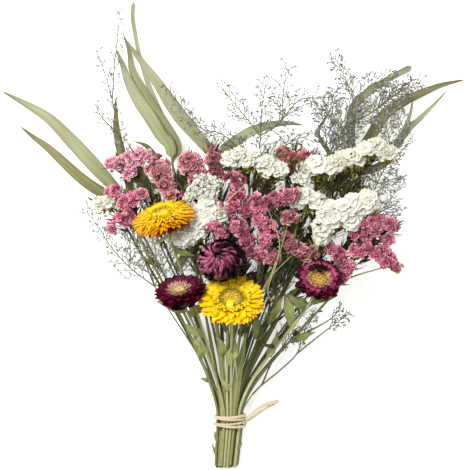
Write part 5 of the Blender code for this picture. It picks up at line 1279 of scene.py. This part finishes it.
def forked(lines_in, gap, longest, spread, chance):
    """Twigs along lines: one every gap, slanting forward and aside, shorter to the tip, slightly bowed."""
    made = []
    for line, low in lines_in:
        length = np.linalg.norm(np.diff(line, axis=0), axis=1).sum()
        count = max(1, int(length * (1 - low) / gap))
        share = low + (1 - low) * (np.arange(count) + chance.uniform(0.1, 0.9, count)) / count
        spot = share * (len(line) - 1)
        floor = np.minimum(spot.astype(int), len(line) - 2)
        root = line[floor] + (line[floor + 1] - line[floor]) * (spot - floor)[:, None]
        ahead = unit(line[np.minimum(floor + 2, len(line) - 1)] - line[np.maximum(floor - 1, 0)])
        aside = unit(np.cross(ahead, (0, 0, 1.0)))
        turn = chance.uniform(-1.1, 1.1, count) + math.pi * (np.arange(count) % 2)
        out = aside * np.cos(turn)[:, None] + np.array((0, 0, 0.6)) * np.sin(turn)[:, None]
        way = unit(ahead + out * spread)
        long = longest * chance.uniform(0.5, 1.1, count) * (1.15 - 0.7 * share)
        t = np.linspace(0, 1, 6)[None, :, None]
        bow = (ahead * 0.25)[:, None] * t**2 * long[:, None, None]
        runs = root[:, None] + way[:, None] * t * long[:, None, None] + bow
        runs[..., 2] = np.maximum(runs[..., 2], 1.0)
        made.append(runs)
    return np.concatenate(made)


for number, (name, stalks) in enumerate(CASPIA.items()):
    chance = np.random.default_rng(700 + number)
    gap, longest, spread = FINE[name]
    parts = [stalk(stem_lines[name], STEM_RADIUS * 0.95, 0.55, RIBBED, 0.4, 0.1)]
    stalk_lines = [even(curve(points, 2.0), 40) for points in (*stalks, *SIDE_STALKS.get(name, ()))]
    # The lowest spray has thicker, barer stalks with short twigs near their ends only.
    bare = name == "caspia_low_right"
    for line in stalk_lines:
        parts.append(stalk(line, 0.8 if bare else 0.6, 0.35, section(6), chance.uniform(0.0, 0.5)))
    first = forked([(line, 0.6 if bare else 0.12) for line in stalk_lines], gap * (0.8 if bare else 1.6),
                   longest * (0.7 if bare else 1), spread, chance)
    second = forked([(run, 0.2) for run in first], 3.2, longest * 0.36, 1.0, chance)
    for runs, thick in ((first, 0.36), (second, 0.27)):
        parts.append(swept(runs, (0.1, 0.2, 1), np.linspace(thick, thick * 0.6, 6)[None], thick * 0.8,
                           section(4), tone=chance.uniform(0, 1, len(runs))))
    show(name + "_twigs", parts, caspia_stalk, "caspia_grey", name)
    spots = np.concatenate((second[:, 5], second[:, 4], second[:, 3], first[:, 5], first[:, 4]))
    ways = unit(np.concatenate([second[:, 5] - second[:, 3]] * 3 + [first[:, 5] - first[:, 3]] * 2))
    ways = unit(ways + chance.normal(0, 0.55, ways.shape))
    count = len(spots)
    ripe = 0.45 if name in ("caspia_low_left", "caspia_left") else 0.0
    buds = strewn(BUD, spots, ways, chance.uniform(0.42, 0.85, count), chance.uniform(1.2, 2.3, count),
                  chance.uniform(ripe, 1, count), chance.uniform(0, 6, count))
    show(name + "_buds", [buds], caspia_bud, "caspia_grey")

# The raffia tie.
# A doubled strip of palm leaf, 1.5 to 3.5 mm wide and ribbed by its fibres, wound twice round the bundle
# and knotted at its right, with the doubled end standing out as a loop.
raffia = dry_paint("raffia", (0, 1), "#d8be90 #d2b684", "#fdf3dc #f8ecd0", 0.5, (1400, 1400, 1400),
                   0.3, 7, 0.25)
STRIP = section(18, 0.05, 9) * (1, 0.9)
BUNDLE_HALF = (13.0, 8.5)
# Each strand on the bundle: its place along it, its slant, its width and how far out it lies.
STRANDS = ((4.0, 0.8, 2.6, 0.35), (2.1, -0.5, 1.7, 0.6), (-1.5, 0.9, 1.6, 0.8), (-3.7, -0.9, 2.1, 0.45))
knot = np.array((TIE_X + 12.9, TIE_Y + 1.0, TIE_Z + 1.5))
parts = []
for off, tilt, width, lift in STRANDS:
    angle = np.linspace(0, 2 * math.pi, 61) + 0.02
    over = np.stack((np.cos(angle) / BUNDLE_HALF[0], 0 * angle, np.sin(angle) / BUNDLE_HALF[1]), -1)
    slant = tilt * np.cos(angle) + 0.25 * np.sin(3 * angle) - 1.3 * np.sin(angle)
    line = np.stack((TIE_X + (BUNDLE_HALF[0] + lift) * np.cos(angle), TIE_Y + off + 0.6 + slant,
                     TIE_Z + (BUNDLE_HALF[1] + lift) * np.sin(angle)), -1)
    # A strand is painted a little lighter the further out it lies, as painted shade on the strands beneath.
    parts.append(swept(line[None], unit(over)[None], width / 2, 0.32, STRIP, tone=[0.4 + 0.1 * lift]))
end = (38.5, -141.5, 10.5)
upper = even(curve((knot, (14.5, -153.5, 14.5), (19, -149.5, 14.5), (27, -144.5, 13.0), end), 1.0), 40)
lower = even(curve((knot, (15.5, -156.5, 12.0), (22, -151.5, 11.0), (31, -146.0, 10.0), end), 1.0), 40)
for line, wide in ((upper, 1.7), (lower, 1.4)):
    parts.append(swept(line[None], (0.3, -0.3, 1), wide, 0.45, STRIP, 0.15, [0.6]))
turn = np.linspace(0, 2 * math.pi, 25)
ring = knot + (0.4, 0, 0) + np.stack((1.1 * np.cos(turn), 2.5 * np.sin(turn), 1.7 * np.cos(turn)), -1)
parts.append(swept(ring[None], (1, 0, 0.3), 1.3, 1.0, STRIP, tone=[0.5]))
show("raffia_wraps", parts, raffia, "raffia", "raffia_tie")
